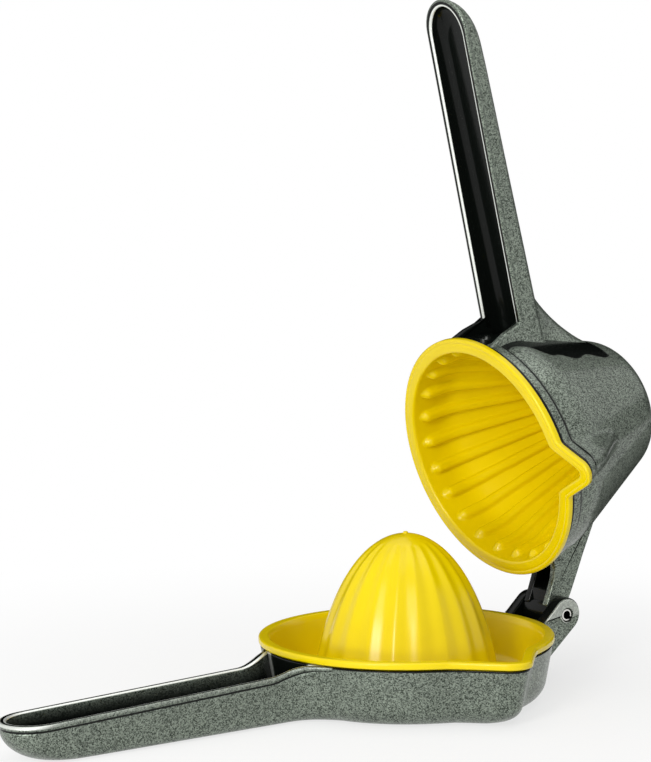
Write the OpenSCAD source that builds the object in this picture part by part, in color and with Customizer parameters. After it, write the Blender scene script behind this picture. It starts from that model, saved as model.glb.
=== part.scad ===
// Hinged lemon squeezer: two cast levers on one pin, one with a plastic dish and reamer, the
// other with a ribbed plastic cup. The origin is on the resting plane, under the middle of the
// dish: -X to the grips, +X to the hinge, -Y to the pouring spouts. The upper lever is drawn
// shut, and then opened about the pin.

/* [Cup] */
// Outer radius of the cup's flange, which sets the size of fruit
cup_r = 40.5; // [38:0.5:43]
// Height of the cup casting, from its mouth to its closed end
cup_h = 59; // [57:0.5:63]
// Height of the nearly straight band behind the cup's mouth
cup_band_h = 14.3; // [12:0.1:17]
// Draft of that band, in degrees
cup_draft = 2; // [1:0.5:4]
// Taper of the wall beyond the band, in degrees
cup_taper = 22; // [20:0.5:24]
// Radius round the cup's closed end
cup_end_round = 11; // [8:0.5:13]
// Wall thickness of the cup casting
cup_casting_wall = 1.5; // [1.3:0.1:1.8]
// Height of the raised bead round the cup casting's mouth
bead_h = 4; // [3:0.5:5]
// How far that bead stands proud
bead_d = 0.7; // [0.4:0.1:1]
// Ribs inside the cup
rib_count = 24; // [16:1:28]
// Height of each rib
rib_h = 1.3; // [0.8:0.1:1.8]

/* [Dish] */
// Room between the shut cup's flange and the dish wall
nest_gap = 1; // [0.7:0.1:2]
// How far the shut cup's mouth sits below the dish rim
nest_depth = 11.5; // [9:0.5:12]
// Depth of the dish, from its rim to its floor
dish_depth = 15; // [14:0.5:17]
// Slope of the dish wall, in degrees
dish_draft = 10.5; // [8:0.5:12]
// Radius between the dish's wall and its floor
dish_fillet = 3; // [2:0.5:4]
// Width of the dish's flange
dish_flange_w = 3.5; // [3.2:0.1:4.6]
// Thickness of both plastic flanges
flange_t = 2.2; // [1.8:0.1:2.8]
// Wall thickness of both plastic inserts
insert_wall = 1.1; // [1:0.1:1.3]
// Play between each insert and its casting
insert_gap = 0.2; // [0.15:0.05:0.3]

/* [Reamer] */
// Height of the reamer's tip above the dish rim
reamer_h = 32.2; // [28:0.2:34]
// Radius of the reamer at the dish floor
reamer_r = 30.1; // [27:0.1:31]
// Length of the whole ellipse whose end is the reamer's outline
reamer_axis = 134; // [110:2:160]
// Lobes round the reamer
lobe_count = 20; // [10:1:24]
// Depth of the grooves between the lobes
lobe_d = 0.7; // [0.4:0.1:1.2]

/* [Spouts] */
// How far the dish's spout reaches past its flange
dish_spout = 12.3; // [10:0.1:14]
// Radius of the dish spout's tip
dish_spout_tip = 7.2; // [6.6:0.1:8]
// Flare of the dish spout's sides, in degrees
dish_spout_flare = 42; // [36:1:46]
// How far the cup's spout reaches past its flange
cup_spout = 11.7; // [9:0.1:12.5]
// Radius of the cup spout's tip
cup_spout_tip = 4.4; // [4:0.1:5]
// Flare of the cup spout's sides, in degrees
cup_spout_flare = 27; // [22:1:32]
// Height over which the cup's spout fades into its wall
cup_spout_h = 30; // [24:1:36]

/* [Castings] */
// Thickness of the casting under the dish
floor_t = 4.7; // [3.5:0.1:6]
// Slope of the dish holder's outer wall, in degrees
holder_draft = 10.3; // [9:0.1:12]
// How far the dish's flange overhangs its holder
dish_lip = 0.5; // [0.4:0.1:1]
// How far the cup's flange overhangs the bead on its casting
cup_lip = 1.2; // [0.4:0.1:1.6]
// Radius round the holder's bottom edge
holder_fillet = 7.5; // [4:0.5:8]
// Radius of the hollow curve from the holder to its handle
neck_r = 17; // [15:1:40]
// Radius of the hollow curve from the cup to its handle
upper_neck_r = 3; // [2:0.5:9]
// How far in front of the cup the fin on its handle begins
gusset_reach = 23; // [16:0.5:30]
// How far that fin climbs above the handle's back
gusset_h = 22; // [16:0.5:26]

/* [Handles] */
// Distance from the dish's axis to the handle tips
handle_end = 146.5; // [130:0.5:165]
// Width of the lower handle beside its neck
low_root_w = 20.8; // [18:0.2:24]
// Width of the lower handle at its tip
low_end_w = 22.6; // [20:0.2:26]
// Width of the upper handle
up_handle_w = 20; // [18:0.2:24]
// Wall thickness of the handle channels
handle_wall = 2.4; // [2:0.1:3.2]
// Thickness of the web across each handle channel
handle_web = 2.8; // [2.2:0.1:4]
// Draft of the handles' sides, in degrees
handle_draft = 6; // [3:0.5:8]
// Length of the rounding of each tip, seen from above
tip_round = 10; // [8:0.5:12]
// Length of the rounding under the lower handle's tip
tip_run = 15; // [11:0.5:18]
// Height of that rounding
tip_rise = 10.8; // [6:0.2:11]
// Length of the rounding over the upper handle's tip
up_tip_run = 14; // [10:0.5:16]
// Radius along the handles' outer edges
handle_fillet = 3.6; // [2.5:0.1:4.5]
// Height of the lower handle's rim beside the neck
low_rim_root = 15.6; // [13.6:0.2:16]
// Height of the lower handle's rim at its tip
low_rim_end = 12; // [11.4:0.2:13]
// Height of the upper handle's rim above the dish rim when shut, beside the cup
up_rim_root = 6.6; // [5:0.2:8]
// The same height at the tip
up_rim_end = 9.8; // [8:0.2:10]
// Height of the upper handle's back above the dish rim when shut
up_back = 16.8; // [16.4:0.2:20]

/* [Hinge] */
// Distance from the dish's edge to the pin's axis
hinge_reach = 10.9; // [10.5:0.1:13]
// Height of the pin's axis above the dish rim
hinge_rise = 0.4; // [0:0.1:1.5]
// Diameter of the slotted spring pin
pin_d = 4; // [3.5:0.1:4.5]
// Wall thickness of the spring pin
pin_wall = 0.8; // [0.6:0.05:1]
// Running clearance of the pin, on the radius
pin_play = 0.05; // [0.02:0.01:0.08]
// How far the pin's ends lie below the lugs' faces
pin_recess = 0.5; // [0.2:0.1:0.8]
// Outer radius of the lugs' eyes
eye_r = 5.7; // [5.4:0.1:6.4]
// Thickness of each lug
lug_t = 4; // [3:0.1:5]
// Slope of the lugs from the holder up to the pin, in degrees
lug_lean = 43; // [40:1:50]
// Width of the arm between the lugs
arm_w = 12; // [10:0.2:14]
// Side play between the arm and each lug
arm_play = 0.35; // [0.3:0.05:0.6]
// Wall thickness of the hollow arm
arm_wall = 2.6; // [2:0.1:3.2]
// How far the lever is open at rest, in degrees
open_angle = 75.2; // [40:0.2:110]

/* [Hidden] */

casting_colour = [0.42, 0.46, 0.43];
insert_colour = [0.95, 0.82, 0.02];
pin_colour = [0.80, 0.81, 0.80];

// How finely curves are drawn
round_fn = 96;
small_fn = 48;
edge_steps = 3;
tip_steps = 6;
bar_steps = 5;
neck_steps = 8;
far_steps = 26;
near_steps = 6;
rim_steps = 12;
shoulder_steps = 3;
cup_end_steps = 4;
reamer_steps = 8;
lobe_steps = 5;
rib_steps = 4;
gusset_steps = 8;
gusset_sides = 12;
spout_span = 44;                                   // half of the arc drawn finely, in degrees
spout_step = 4;
ring_coarse = 41;

// Details that are too small to set
cut = 1;                                           // how far a cut runs past its face
flange_seam = 0.5;                                 // shadow line between flange and casting
flange_round = 0.8;                                // rounding of the flanges' edges
dish_blend = 3;                                    // hollow curve beside the dish's spout
cup_blend = 1.2;                                   // hollow curve beside the cup's spout
spout_lean = 1.7;                                  // extra slope under the holder's spout
channel_fillet = 2.4;                              // inside the handle channels
low_rise = 13;                                     // over which the lower rim climbs the neck
up_drop = 2.5;                                     // over which the upper rim drops to the cup
bite = 0.8;                                        // how far joined shapes run into each other
rib_start = 3;                                     // over which the cup's ribs rise
lug_foot = 2;                                      // where the lugs end above the resting plane
tip_cap_h = 2.4;                                   // smooth cap on the reamer, above its lobes
gate_r = 0.85;                                     // moulding mark on the reamer's tip
gate_h = 0.6;
pin_slot = 0.9;
shoulder_r = 24;                                   // between the cup's band and its taper

// Heights, from the resting plane up
dish_under_z = floor_t + insert_gap;
dish_floor_z = dish_under_z + insert_wall;
rim_z = dish_floor_z + dish_depth;
holder_z = rim_z - flange_t - flange_seam;
mouth_z = rim_z - nest_depth;
hinge_z = rim_z + hinge_rise;

// Radii of the dish and its holder, from the cup that nests in the dish
dish_slope = tan(dish_draft);
dish_in_r = cup_r + nest_gap + nest_depth * dish_slope;
dish_r = dish_in_r + dish_flange_w;
holder_r = dish_r - dish_lip;
hinge_x = dish_r + hinge_reach;

function lerp(a, b, t) = a + (b - a) * t;
function clamp01(t) = min(1, max(0, t));
function smooth(t) = let (u = clamp01(t)) u * u * (3 - 2 * u);

// ---------------------------------------------------------------- plan outlines

// Polar radius of a spout: an arc of radius tip about (0, -c), with sides that flare by f
// degrees. a is the angle from the -Y direction.
function spout_r(a, c, tip, f) =
    let (edge = atan2(tip * cos(f), c + tip * sin(f)))
    a < edge ? c * cos(a) + sqrt(tip * tip - pow(c * sin(a), 2))
             : (tip + c * sin(f)) / sin(f + a);

// A circle of radius r with that spout, joined to it by a small hollow curve of size k
function mouth_r(phi, r, c, tip, f, k) =
    let (s = spout_r(min(abs(phi + 90), spout_span), c, tip, f), gap = abs(r - s))
    (r + s + sqrt(gap * gap + k * k)) / 2 - k * k / (4 * (gap + k));

// Polar angles of a ring, clockwise from above and closer together round the spout
spout_fine = [for (p = [spout_span:-spout_step:-spout_span]) p - 90];
ring_angles = concat(spout_fine, [for (i = [1:ring_coarse])
    -90 - spout_span - i * (360 - 2 * spout_span) / (ring_coarse + 1)]);

// ---------------------------------------------------------------- lofts

// A closed solid through rings of equally many points, each wound clockwise when seen along
// the way the rings go. Each end is closed by a fan from core, or from the mean of its ring.
module loft(rings, core) {
    n = len(rings[0]);
    m = len(rings);
    ends = [for (ring = [rings[0], rings[m - 1]])
        is_undef(core) ? [for (p = ring) 1] * ring / n : [core[0], core[1], ring[0][2]]];
    points = concat([for (ring = rings) each ring], ends);
    sides = [for (k = [0:m - 2]) for (i = [0:n - 1]) each
        let (a = k * n + i, b = k * n + (i + 1) % n)
        [[a, b + n, b], [a, a + n, b + n]]];
    caps = [for (i = [0:n - 1]) each let (j = (i + 1) % n, k = (m - 1) * n)
        [[i, j, m * n], [k + j, k + i, m * n + 1]]];
    polyhedron(points, concat(sides, caps), convexity = 6);
}

// Plan of half a lever, from its tip to the end of its neck. r is the round part's radius, and
// w0 and w1 are the handle's half widths beside the neck and at the tip. The neck ends at the
// distance stop from the axis.
function lever_side(r, w0, w1, end, neck, stop) =
    let (
        cx = -sqrt(pow(r + neck, 2) - pow(w0 + neck, 2)),
        cy = w0 + neck,
        d = r + neck,
        turn = atan2(-cy, -cx) - acos(min(1, (d * d + neck * neck - stop * stop) / (2 * d * neck))),
        tip_x = tip_round - end
    ) concat(
        [for (i = [0:tip_steps]) let (t = 90 * i / tip_steps)
            [tip_x - tip_round * cos(t), w1 * sin(t)]],
        [for (i = [1:bar_steps]) let (t = i / bar_steps) [lerp(tip_x, cx, t), lerp(w1, w0, t)]],
        [for (i = [1:neck_steps]) let (a = lerp(-90, turn, i / neck_steps))
            [cx + neck * cos(a), cy + neck * sin(a)]]
    );

// The other half of that plan, back to the tip
function mirrored(side) = [for (i = [len(side) - 1:-1:1]) [side[i][0], -side[i][1]]];

// Inset of a drafted wall at angle a round its rounded edge of radius f. The wall has no inset
// at the height top above the edge's face.
function edge_inset(a, draft, top, f) =
    f * (cos(draft) - cos(a)) + tan(draft) * (top - f * (1 - sin(draft)));

// Radius of a handle's outer edge at x, which grows towards the tip to the rounding's height
function bar_edge(x, rise) =
    let (t = clamp01((rise * 2 - handle_end - x) / (rise * 2)))
    lerp(handle_fillet, rise, t * t);

// How far a tip's rounding draws it back at height z above the handle's outer face
function tip_inset(z, run, rise) = run * (1 - sqrt(1 - pow(1 - clamp01(z / rise), 2)));

// A handle's channel along +Z from its floor at 0 up to top, one wall inside the outer plan. It
// ends against the round part, whose radius is r at the top and which leans in by lean. neck is
// the radius of the hollow curve beside it, w0 and w1 are the handle's half widths, and run and
// rise are those of the tip's rounding.
module channel(r, lean, neck, w0, w1, top, run, rise) {
    function ring(z, in) =
        let (wall = r - lean * (top - z),
             side = lever_side(wall - handle_wall - in, w0 - handle_wall - in,
                               w1 - handle_wall - in,
                               handle_end - handle_wall - in
                               - tip_inset(z + handle_web, run, rise),
                               neck + handle_wall, wall),
             last = side[len(side) - 1],
             a0 = atan2(last[1], last[0]),
             back = [for (i = [1:bar_steps]) let (a = lerp(a0, 360 - a0, i / (bar_steps + 1)))
                 wall * [cos(a), sin(a)]])
        [for (p = concat(side, back, mirrored(side))) [p[0], p[1], z]];
    f = channel_fillet;
    loft(concat([ring(top, tan(handle_draft) * (f - top))],
        [for (i = [0:edge_steps]) let (a = 90 * i / edge_steps)
            ring(f * (1 - sin(a)), f * (1 - cos(a)))]), [-r - f, 0]);
}

// ---------------------------------------------------------------- lower casting

low_rim_x = -holder_r - low_rise;                  // where the handle's rim starts to climb

// Height of the lower casting's rim at x
function low_rim(x) =
    let (bar = lerp(low_rim_root, low_rim_end, (low_rim_x - x) / (handle_end + low_rim_x)))
    lerp(bar, holder_z, smooth((x - low_rim_x) / (low_rise - cut)));

// Radius of the bottom edge at x
function low_edge(x) =
    lerp(bar_edge(x, tip_rise), holder_fillet, smooth((x - low_rim_x) / low_rise));

function low_plan(in_r, in_w, in_e) =
    let (
        side = lever_side(holder_r - in_r, low_root_w / 2 - in_w, low_end_w / 2 - in_w,
                          handle_end - in_e, neck_r, holder_r - in_r),
        last = side[len(side) - 1],
        a0 = atan2(last[1], last[0]),
        far = [for (i = [1:far_steps]) lerp(a0, spout_span - 90, i / (far_steps + 1))],
        near = [for (i = [1:near_steps]) lerp(-90 - spout_span, -a0, i / (near_steps + 1))],
        c = dish_r + dish_spout - dish_spout_tip - spout_lean * in_r
    ) concat(side,
        [for (p = concat(far, spout_fine, near))
            let (q = mouth_r(p, holder_r - in_r, c, dish_spout_tip - dish_lip,
                             dish_spout_flare, dish_blend))
            [q * cos(p), q * sin(p)]],
        mirrored(side));

// The holder and its handle as one solid block, up to the holder's top
module low_block() {
    function ring(a) = [for (p = low_plan(edge_inset(a, holder_draft, holder_z, holder_fillet),
                                          edge_inset(a, handle_draft, low_rim_root, handle_fillet),
                                          tip_inset(tip_rise * (1 - sin(a)), tip_run, tip_rise)))
        [p[0], p[1], low_edge(p[0]) * (1 - sin(a))]];
    widen = tan(handle_draft) * (holder_z - low_rim_root);
    top = [for (p = low_plan(0, -widen, 0)) [p[0], p[1], holder_z]];
    loft(concat([top], [for (i = [0:edge_steps]) ring(lerp(holder_draft, 90, i / edge_steps))]),
         [-holder_r / 2, 0]);
}

// What lies above the lower handle's rim
module above_low_rim() {
    x0 = -handle_end - 2 * cut;
    x1 = low_rim_x + low_rise;
    curve = concat([[x0, low_rim(x0)]],
        [for (i = [0:rim_steps]) let (x = lerp(low_rim_x, x1, i / rim_steps)) [x, low_rim(x)]]);
    rotate([90, 0, 0]) linear_extrude(2 * holder_r, center = true)
        polygon(concat(curve, [[x1, holder_z + cut], [x0, holder_z + cut]]));
}

// The space inside the dish, grown by o on every side, from its floor up to the height top
module dish_space(o, top) {
    f = dish_fillet;
    function wall_r(z) = dish_in_r - dish_slope * (rim_z - z);
    // A ring at height z, where the wall's own radius is r before it grows by grow
    function ring(z, r, grow) =
        let (c = dish_r + dish_spout - dish_spout_tip + r - dish_in_r,
             tip = dish_spout_tip - dish_flange_w + grow)
        [for (p = ring_angles) let (q = mouth_r(p, r + grow, c, tip, dish_spout_flare, dish_blend))
            [q * cos(p), q * sin(p), z]];
    zc = dish_floor_z + f;
    rc = wall_r(zc) - f / cos(dish_draft);
    loft(concat([ring(top, wall_r(top), o / cos(dish_draft))],
        [for (i = [0:edge_steps]) let (a = lerp(dish_draft, 90, i / edge_steps))
            ring(zc - (f + o) * sin(a), rc + (f + o) * cos(a) - o, o)]));
}

// One lug in side view: the eye, and the arm that joins it to the holder's wall and ends
// inside that wall
module lug_side() {
    root_x = holder_r - tan(holder_draft) * holder_z + flange_seam;
    along = [-cos(lug_lean), -sin(lug_lean)];
    across = [sin(lug_lean), -cos(lug_lean)];
    over = -(eye_r - bite) * across;
    under = (eye_r - bite) * across;
    function met(o) = (hinge_x - root_x + o[0]) / cos(lug_lean);
    foot = (hinge_z + under[1] - lug_foot) / sin(lug_lean);
    translate([hinge_x, hinge_z]) {
        circle(r = eye_r, $fn = small_fn);
        polygon([over, over + met(over) * along, [root_x - hinge_x, lug_foot - hinge_z],
                 under + foot * along, under]);
    }
}

module lugs() {
    for (s = [-1, 1]) translate([0, s * (arm_w / 2 + arm_play + lug_t / 2), 0])
        rotate([90, 0, 0]) linear_extrude(lug_t, center = true) lug_side();
}

module pin_hole() {
    translate([hinge_x, 0, hinge_z]) rotate([90, 0, 0])
        cylinder(r = pin_d / 2 + pin_play, h = arm_w + 2 * (arm_play + lug_t + cut),
                 center = true, $fn = small_fn);
}

module lower_casting() color(casting_colour) {
    slope = tan(holder_draft);
    difference() {
        low_block();
        above_low_rim();
        translate([0, 0, handle_web])
            channel(holder_r + slope * cut, slope, neck_r, low_root_w / 2, low_end_w / 2,
                    holder_z + cut - handle_web, tip_run, tip_rise);
        dish_space(insert_wall + insert_gap, holder_z + cut);
    }
    difference() {
        lugs();
        pin_hole();
    }
}

// ---------------------------------------------------------------- dish with its reamer

reamer_t = reamer_h + dish_depth;                  // the reamer's height above the dish floor

// Radius of the reamer at depth t below its tip
function reamer_at(t) =
    reamer_r * sqrt(t / reamer_t * (reamer_axis - t) / (reamer_axis - reamer_t));

// Depth of the reamer's i-th ring below its tip
function reamer_depth(i) = reamer_t * pow(i / reamer_steps, 1.8);

module reamer_skin() {
    n = lobe_count * lobe_steps;
    function ring(z, t) = [for (i = [n:-1:1])
        let (p = 360 * i / n, groove = 1 - abs(sin(p * lobe_count / 2)),
             r = reamer_at(t) - lobe_d * groove * smooth(t / tip_cap_h - 1))
        [r * cos(p), r * sin(p), z]];
    loft(concat(
        [for (i = [0:reamer_steps]) let (t = reamer_depth(max(i, 0.25)))
            ring(rim_z + reamer_h - t, t)],
        [ring(dish_floor_z - insert_wall / 2, reamer_t)]));
}

// The space inside the hollow reamer, open below
module reamer_space() {
    wall = insert_wall + lobe_d;
    outline = [for (i = [1:reamer_steps]) let (t = reamer_depth(i))
        [reamer_at(t) - wall, rim_z + reamer_h - t - insert_wall]];
    base = outline[len(outline) - 1];
    rotate_extrude($fn = round_fn) polygon(concat([[0, outline[0][1]]],
        [for (p = outline) if (p[0] > 0) p], [[base[0], base[1] - cut], [0, base[1] - cut]]));
}

module dish_flange() {
    e = flange_round;
    function ring(z, in) = [for (p = ring_angles)
        let (q = mouth_r(p, dish_r - in, dish_r + dish_spout - dish_spout_tip, dish_spout_tip - in,
                         dish_spout_flare, dish_blend))
        [q * cos(p), q * sin(p), z]];
    loft([ring(rim_z, e), ring(rim_z - e * 0.3, e * 0.3), ring(rim_z - e, 0),
          ring(rim_z - flange_t + e / 2, 0), ring(rim_z - flange_t, e / 2)]);
}

module reamer_dish() color(insert_colour) {
    difference() {
        union() {
            difference() {
                union() {
                    dish_flange();
                    dish_space(insert_wall, rim_z - flange_t / 2);
                }
                dish_space(0, rim_z + cut);
            }
            reamer_skin();
        }
        reamer_space();
    }
    translate([0, 0, rim_z + reamer_h - insert_wall / 2])
        cylinder(r = gate_r, h = insert_wall / 2 + gate_h, $fn = small_fn);
}

// ---------------------------------------------------------------- hinge pin

// A slotted spring pin, rolled from strip
module hinge_pin() color(pin_colour) {
    length = arm_w + 2 * (arm_play + lug_t - pin_recess);
    translate([hinge_x, 0, hinge_z]) rotate([90, 0, 0]) difference() {
        cylinder(r = pin_d / 2, h = length, center = true, $fn = small_fn);
        cylinder(r = pin_d / 2 - pin_wall, h = length + 2 * cut, center = true, $fn = small_fn);
        translate([0, -pin_d / 2, 0]) cube([pin_slot, pin_d, length + 2 * cut], center = true);
    }
}

// ---------------------------------------------------------------- cup

// Turns what is drawn shut to the angle at which the lever rests
module opened() {
    translate([hinge_x, 0, hinge_z]) rotate([0, open_angle, 0])
        translate([-hinge_x, 0, -hinge_z]) children();
}

// The casting's outer wall in section: a drafted band, a shoulder, a taper and a rounded end
wall_r = cup_r - cup_lip - bead_d;              // the band's radius at the mouth
band_r = wall_r - cup_band_h * tan(cup_draft);
shoulder_l = shoulder_r * tan((cup_taper - cup_draft) / 2);
shoulder_c = [band_r + shoulder_l * sin(cup_draft) - shoulder_r * cos(cup_draft),
              cup_band_h - shoulder_l * cos(cup_draft) - shoulder_r * sin(cup_draft)];
end_c = [band_r - (cup_h - cup_end_round - cup_band_h) * tan(cup_taper)
                - cup_end_round / cos(cup_taper),
         cup_h - cup_end_round];

// That section as [radius, height above the mouth] from the end down, o inside the outer wall
function cup_wall(o) = concat(
    [for (i = [cup_end_steps:-1:0]) let (a = lerp(cup_taper, 90, i / cup_end_steps))
        end_c + (cup_end_round - o) * [cos(a), sin(a)]],
    [for (i = [shoulder_steps:-1:0]) let (a = lerp(cup_draft, cup_taper, i / shoulder_steps))
        shoulder_c + (shoulder_r - o) * [cos(a), sin(a)]]);

// The band's radius at height h above the mouth, o inside the outer wall
function band_at(h, o) = wall_r - h * tan(cup_draft) - o / cos(cup_draft);

// A ring of radius r at height h, with the spout, which o narrows
function cup_ring(h, r, o) =
    let (c = r + o + cup_spout * (1 - h / cup_spout_h) - cup_spout_tip)
    [for (p = ring_angles)
        let (q = mouth_r(p, r, c, cup_spout_tip - o, cup_spout_flare, cup_blend))
        [q * cos(p), q * sin(p), mouth_z + h]];

// A solid with the cup's wall o inside the casting's outer wall, from its end down to low
module cup_body(o, low) {
    loft(concat([for (p = cup_wall(o)) cup_ring(p[1], p[0], o)],
        [cup_ring(low, band_at(low, o), o)]));
}

module cup_bead() {
    low = flange_t + flange_seam;
    r = cup_r - cup_lip;
    sink = bead_d + bite;
    loft([cup_ring(low + bead_h + sink / 2, r - sink, 0), cup_ring(low + bead_h, r, 0),
          cup_ring(low, r, 0)]);
}

module cup_flange() {
    e = flange_round;
    function ring(h, in) = cup_ring(h, cup_r - in, in);
    loft([ring(flange_t, e / 2), ring(flange_t - e / 2, 0), ring(e, 0), ring(e * 0.3, e * 0.3),
          ring(0, e)]);
}

insert_out = cup_casting_wall + insert_gap;        // the cup insert's outer side
insert_in = insert_out + insert_wall;              // its inner side

// The space inside the cup: its wall bulges inwards in one broad rib after another
module cup_space() {
    n = rib_count * rib_steps;
    function ring(h, r) =
        let (c = r + insert_in + cup_spout * (1 - h / cup_spout_h) - cup_spout_tip,
             grow = rib_h * smooth((h - flange_t) / rib_start))
        [for (i = [0:n - 1]) let (p = -360 * i / n,
             q = mouth_r(p, r, c, cup_spout_tip - insert_in, cup_spout_flare, cup_blend)
                 - grow * pow(abs(cos(p * rib_count / 2)), 0.6))
            [q * cos(p), q * sin(p), mouth_z + h]];
    low = flange_t + rib_start;
    loft(concat([for (p = cup_wall(insert_in)) ring(p[1], p[0])],
        [ring(low, band_at(low, insert_in)), ring(flange_t, band_at(flange_t, insert_in)),
         ring(-cut, band_at(-cut, insert_in))]));
}

module ribbed_cup() color(insert_colour) opened() difference() {
    union() {
        cup_flange();
        cup_body(insert_out, flange_t / 2);
    }
    cup_space();
}

// ---------------------------------------------------------------- upper casting

up_root_x = -wall_r - up_drop;                     // where the handle's rim drops to the cup
up_foot_z = mouth_z + flange_t + flange_seam + bead_h;
back_z = rim_z + up_back;
up_tip_rise = up_back - up_rim_end - cut / 2;      // height of the rounding over its tip

// Height of the upper handle's rim at x
function up_rim(x) =
    let (bar = lerp(up_rim_root, up_rim_end, (up_root_x - x) / (handle_end + up_root_x)))
    lerp(rim_z + bar, up_foot_z, smooth((x - up_root_x) / up_drop));

// The upper handle as a solid block, from its back down to the cup's bead
module up_block() {
    height = up_back - up_rim_end;
    function ring(z_of, in_w, in_e) =
        let (side = lever_side(wall_r - bite, up_handle_w / 2 - in_w, up_handle_w / 2 - in_w,
                               handle_end - in_e, upper_neck_r, wall_r - bite))
        [for (p = concat(side, mirrored(side))) [p[0], p[1], z_of == 0 ? up_foot_z
            : back_z - bar_edge(p[0], up_tip_rise) * (1 - sin(z_of))]];
    widen = tan(handle_draft) * (back_z - height - up_foot_z);
    loft(concat(
        [for (i = [edge_steps:-1:0]) let (a = lerp(handle_draft, 90, i / edge_steps))
            ring(a, edge_inset(a, handle_draft, height, handle_fillet),
                 tip_inset(up_tip_rise * (1 - sin(a)), up_tip_run, up_tip_rise))],
        [ring(0, -widen, 0)]), [-wall_r, 0]);
}

// What lies below the upper handle's rim
module below_up_rim() {
    x0 = -handle_end - 3 * cut;
    x1 = up_root_x + up_drop;
    curve = concat([[x0, up_rim(x0)]],
        [for (i = [0:rim_steps]) let (x = lerp(up_root_x, x1, i / rim_steps)) [x, up_rim(x)]]);
    rotate([90, 0, 0]) linear_extrude(2 * wall_r, center = true)
        polygon(concat(curve, [[x1, up_foot_z - cut], [x0, up_foot_z - cut]]));
}

// The fin that carries the handle's back up the cup, as rings across it
module gusset() {
    x0 = -wall_r - gusset_reach;
    x1 = -end_c[0] - cup_end_round;
    base = rim_z + up_rim_root + handle_web;
    low = up_back - handle_web / 2;
    loft([for (i = [0:gusset_steps])
        let (t = i / gusset_steps, top = rim_z + low + gusset_h * pow(t, 1.75),
             w = lerp(up_handle_w / 6, up_handle_w, t))
        [for (j = [0:gusset_sides]) let (a = 180 * j / gusset_sides)
            [lerp(x0, x1, t), w * cos(a), base + (top - base) * pow(sin(a), 1.4)]]]);
}

// The arm's back and front edges in side view, from the pin's axis to inside the cup's wall
arm_l = hinge_x - end_c[0] - cup_end_round;
arm_slope = 0.85;
arm_back = [[-2.5, 5.3], [-4.7, 7.2], [-10.7, 11.9], [-15.4, 15.5], [-26, 24.2],
            [-arm_l, 24.2 + arm_slope * (arm_l - 26)]];
arm_front = [[-arm_l, 2.6], [-14.6, 2.6], [-11.5, 1.3], [-8.1, -1], [-4, -4]];

module arm() {
    translate([hinge_x, 0, hinge_z]) rotate([90, 0, 0]) difference() {
        linear_extrude(arm_w, center = true) {
            circle(r = eye_r - bite / 2, $fn = small_fn);
            polygon(concat(arm_back, arm_front));
        }
        linear_extrude(arm_w - 2 * arm_wall, center = true)
            polygon(concat([for (p = arm_back) if (p[0] < -eye_r) p - [0, arm_wall * 1.3]],
                [[-arm_l, 2.6 - cut], [-eye_r - arm_wall, -eye_r], [-eye_r - arm_wall, 0]]));
        cylinder(r = pin_d / 2 + pin_play, h = arm_w + 2 * cut, center = true, $fn = small_fn);
    }
}

module upper_handle() difference() {
    union() {
        up_block();
        gusset();
    }
    below_up_rim();
    translate([0, 0, back_z - handle_web]) mirror([0, 0, 1])
        channel(wall_r, 0, upper_neck_r, up_handle_w / 2, up_handle_w / 2,
                back_z - handle_web - up_foot_z + cut, up_tip_run, up_tip_rise);
}

module upper_casting() color(casting_colour) opened() difference() {
    union() {
        union() {
            cup_body(0, flange_t + flange_seam);
            cup_bead();
        }
        upper_handle();
        arm();
    }
    cup_body(cup_casting_wall, -cut);
}

lower_casting();
reamer_dish();
hinge_pin();
upper_casting();
ribbed_cup();
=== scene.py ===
import bmesh
import bpy
import math
import numpy as np
from mathutils import Matrix, Vector


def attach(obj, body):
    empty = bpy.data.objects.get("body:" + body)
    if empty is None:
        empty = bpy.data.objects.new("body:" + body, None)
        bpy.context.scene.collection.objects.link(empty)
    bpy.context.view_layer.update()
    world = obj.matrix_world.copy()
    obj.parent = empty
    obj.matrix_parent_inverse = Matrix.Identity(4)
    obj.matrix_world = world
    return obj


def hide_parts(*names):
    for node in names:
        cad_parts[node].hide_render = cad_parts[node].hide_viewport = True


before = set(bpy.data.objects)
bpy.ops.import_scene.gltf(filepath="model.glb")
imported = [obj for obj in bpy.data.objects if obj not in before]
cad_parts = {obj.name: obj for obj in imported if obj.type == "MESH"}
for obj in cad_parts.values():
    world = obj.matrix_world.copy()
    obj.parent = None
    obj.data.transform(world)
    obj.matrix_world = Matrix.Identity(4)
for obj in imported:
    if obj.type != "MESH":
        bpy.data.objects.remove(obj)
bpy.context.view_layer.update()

# ------------------------------------------------------------------ lower casting
# The lower lever: a round holder for the dish and a long channelled handle, die cast in one
# piece of aluminium and sprayed with a grey metallic lacquer. Lengths are in millimetres from
# the middle of the dish's axis on the table: -X to the grips, +X to the hinge, -Y to the spouts.

RIM_Z = 21.0                       # top of the dish
HOLDER_R, HOLDER_Z, HOLDER_WALL = 46.63, 18.3, 1.9
HOLDER_DRAFT, HOLDER_EDGE = math.radians(10.3), 7.5
HOLDER_X, HOLDER_RUN = -52.0, 8.0  # where the handle's rim becomes the holder's
HANDLE_END = 146.5
HANDLE_DRAFT, HANDLE_EDGE = math.radians(6), 3.6
LOW_W0, LOW_W1 = 10.4, 11.3        # half widths beside the neck and at the tip
LOW_NECK = 17.0                    # hollow corner between handle and holder
LOW_RIM_ROOT, LOW_RIM_END = 15.6, 12.0
LOW_RISE_X, LOW_RISE, RIM_LEAD = -59.4, 13.0, 1.0
TIP_ROUND, TIP_RUN, TIP_RISE = 10.0, 15.0, 10.8
WEB = 2.8                          # thickness of the channels' floors
RIM_W = 2.3                        # width of the handles' rims
CHANNEL_EDGE = 2.4
SPOUT_C, SPOUT_TIP, SPOUT_FLARE = 52.23, 6.5, math.radians(42)
SPOUT_SIDE = math.radians(42)      # how far to each side of its middle a spout reaches
SPOUT_BLEND = 3.0
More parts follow.
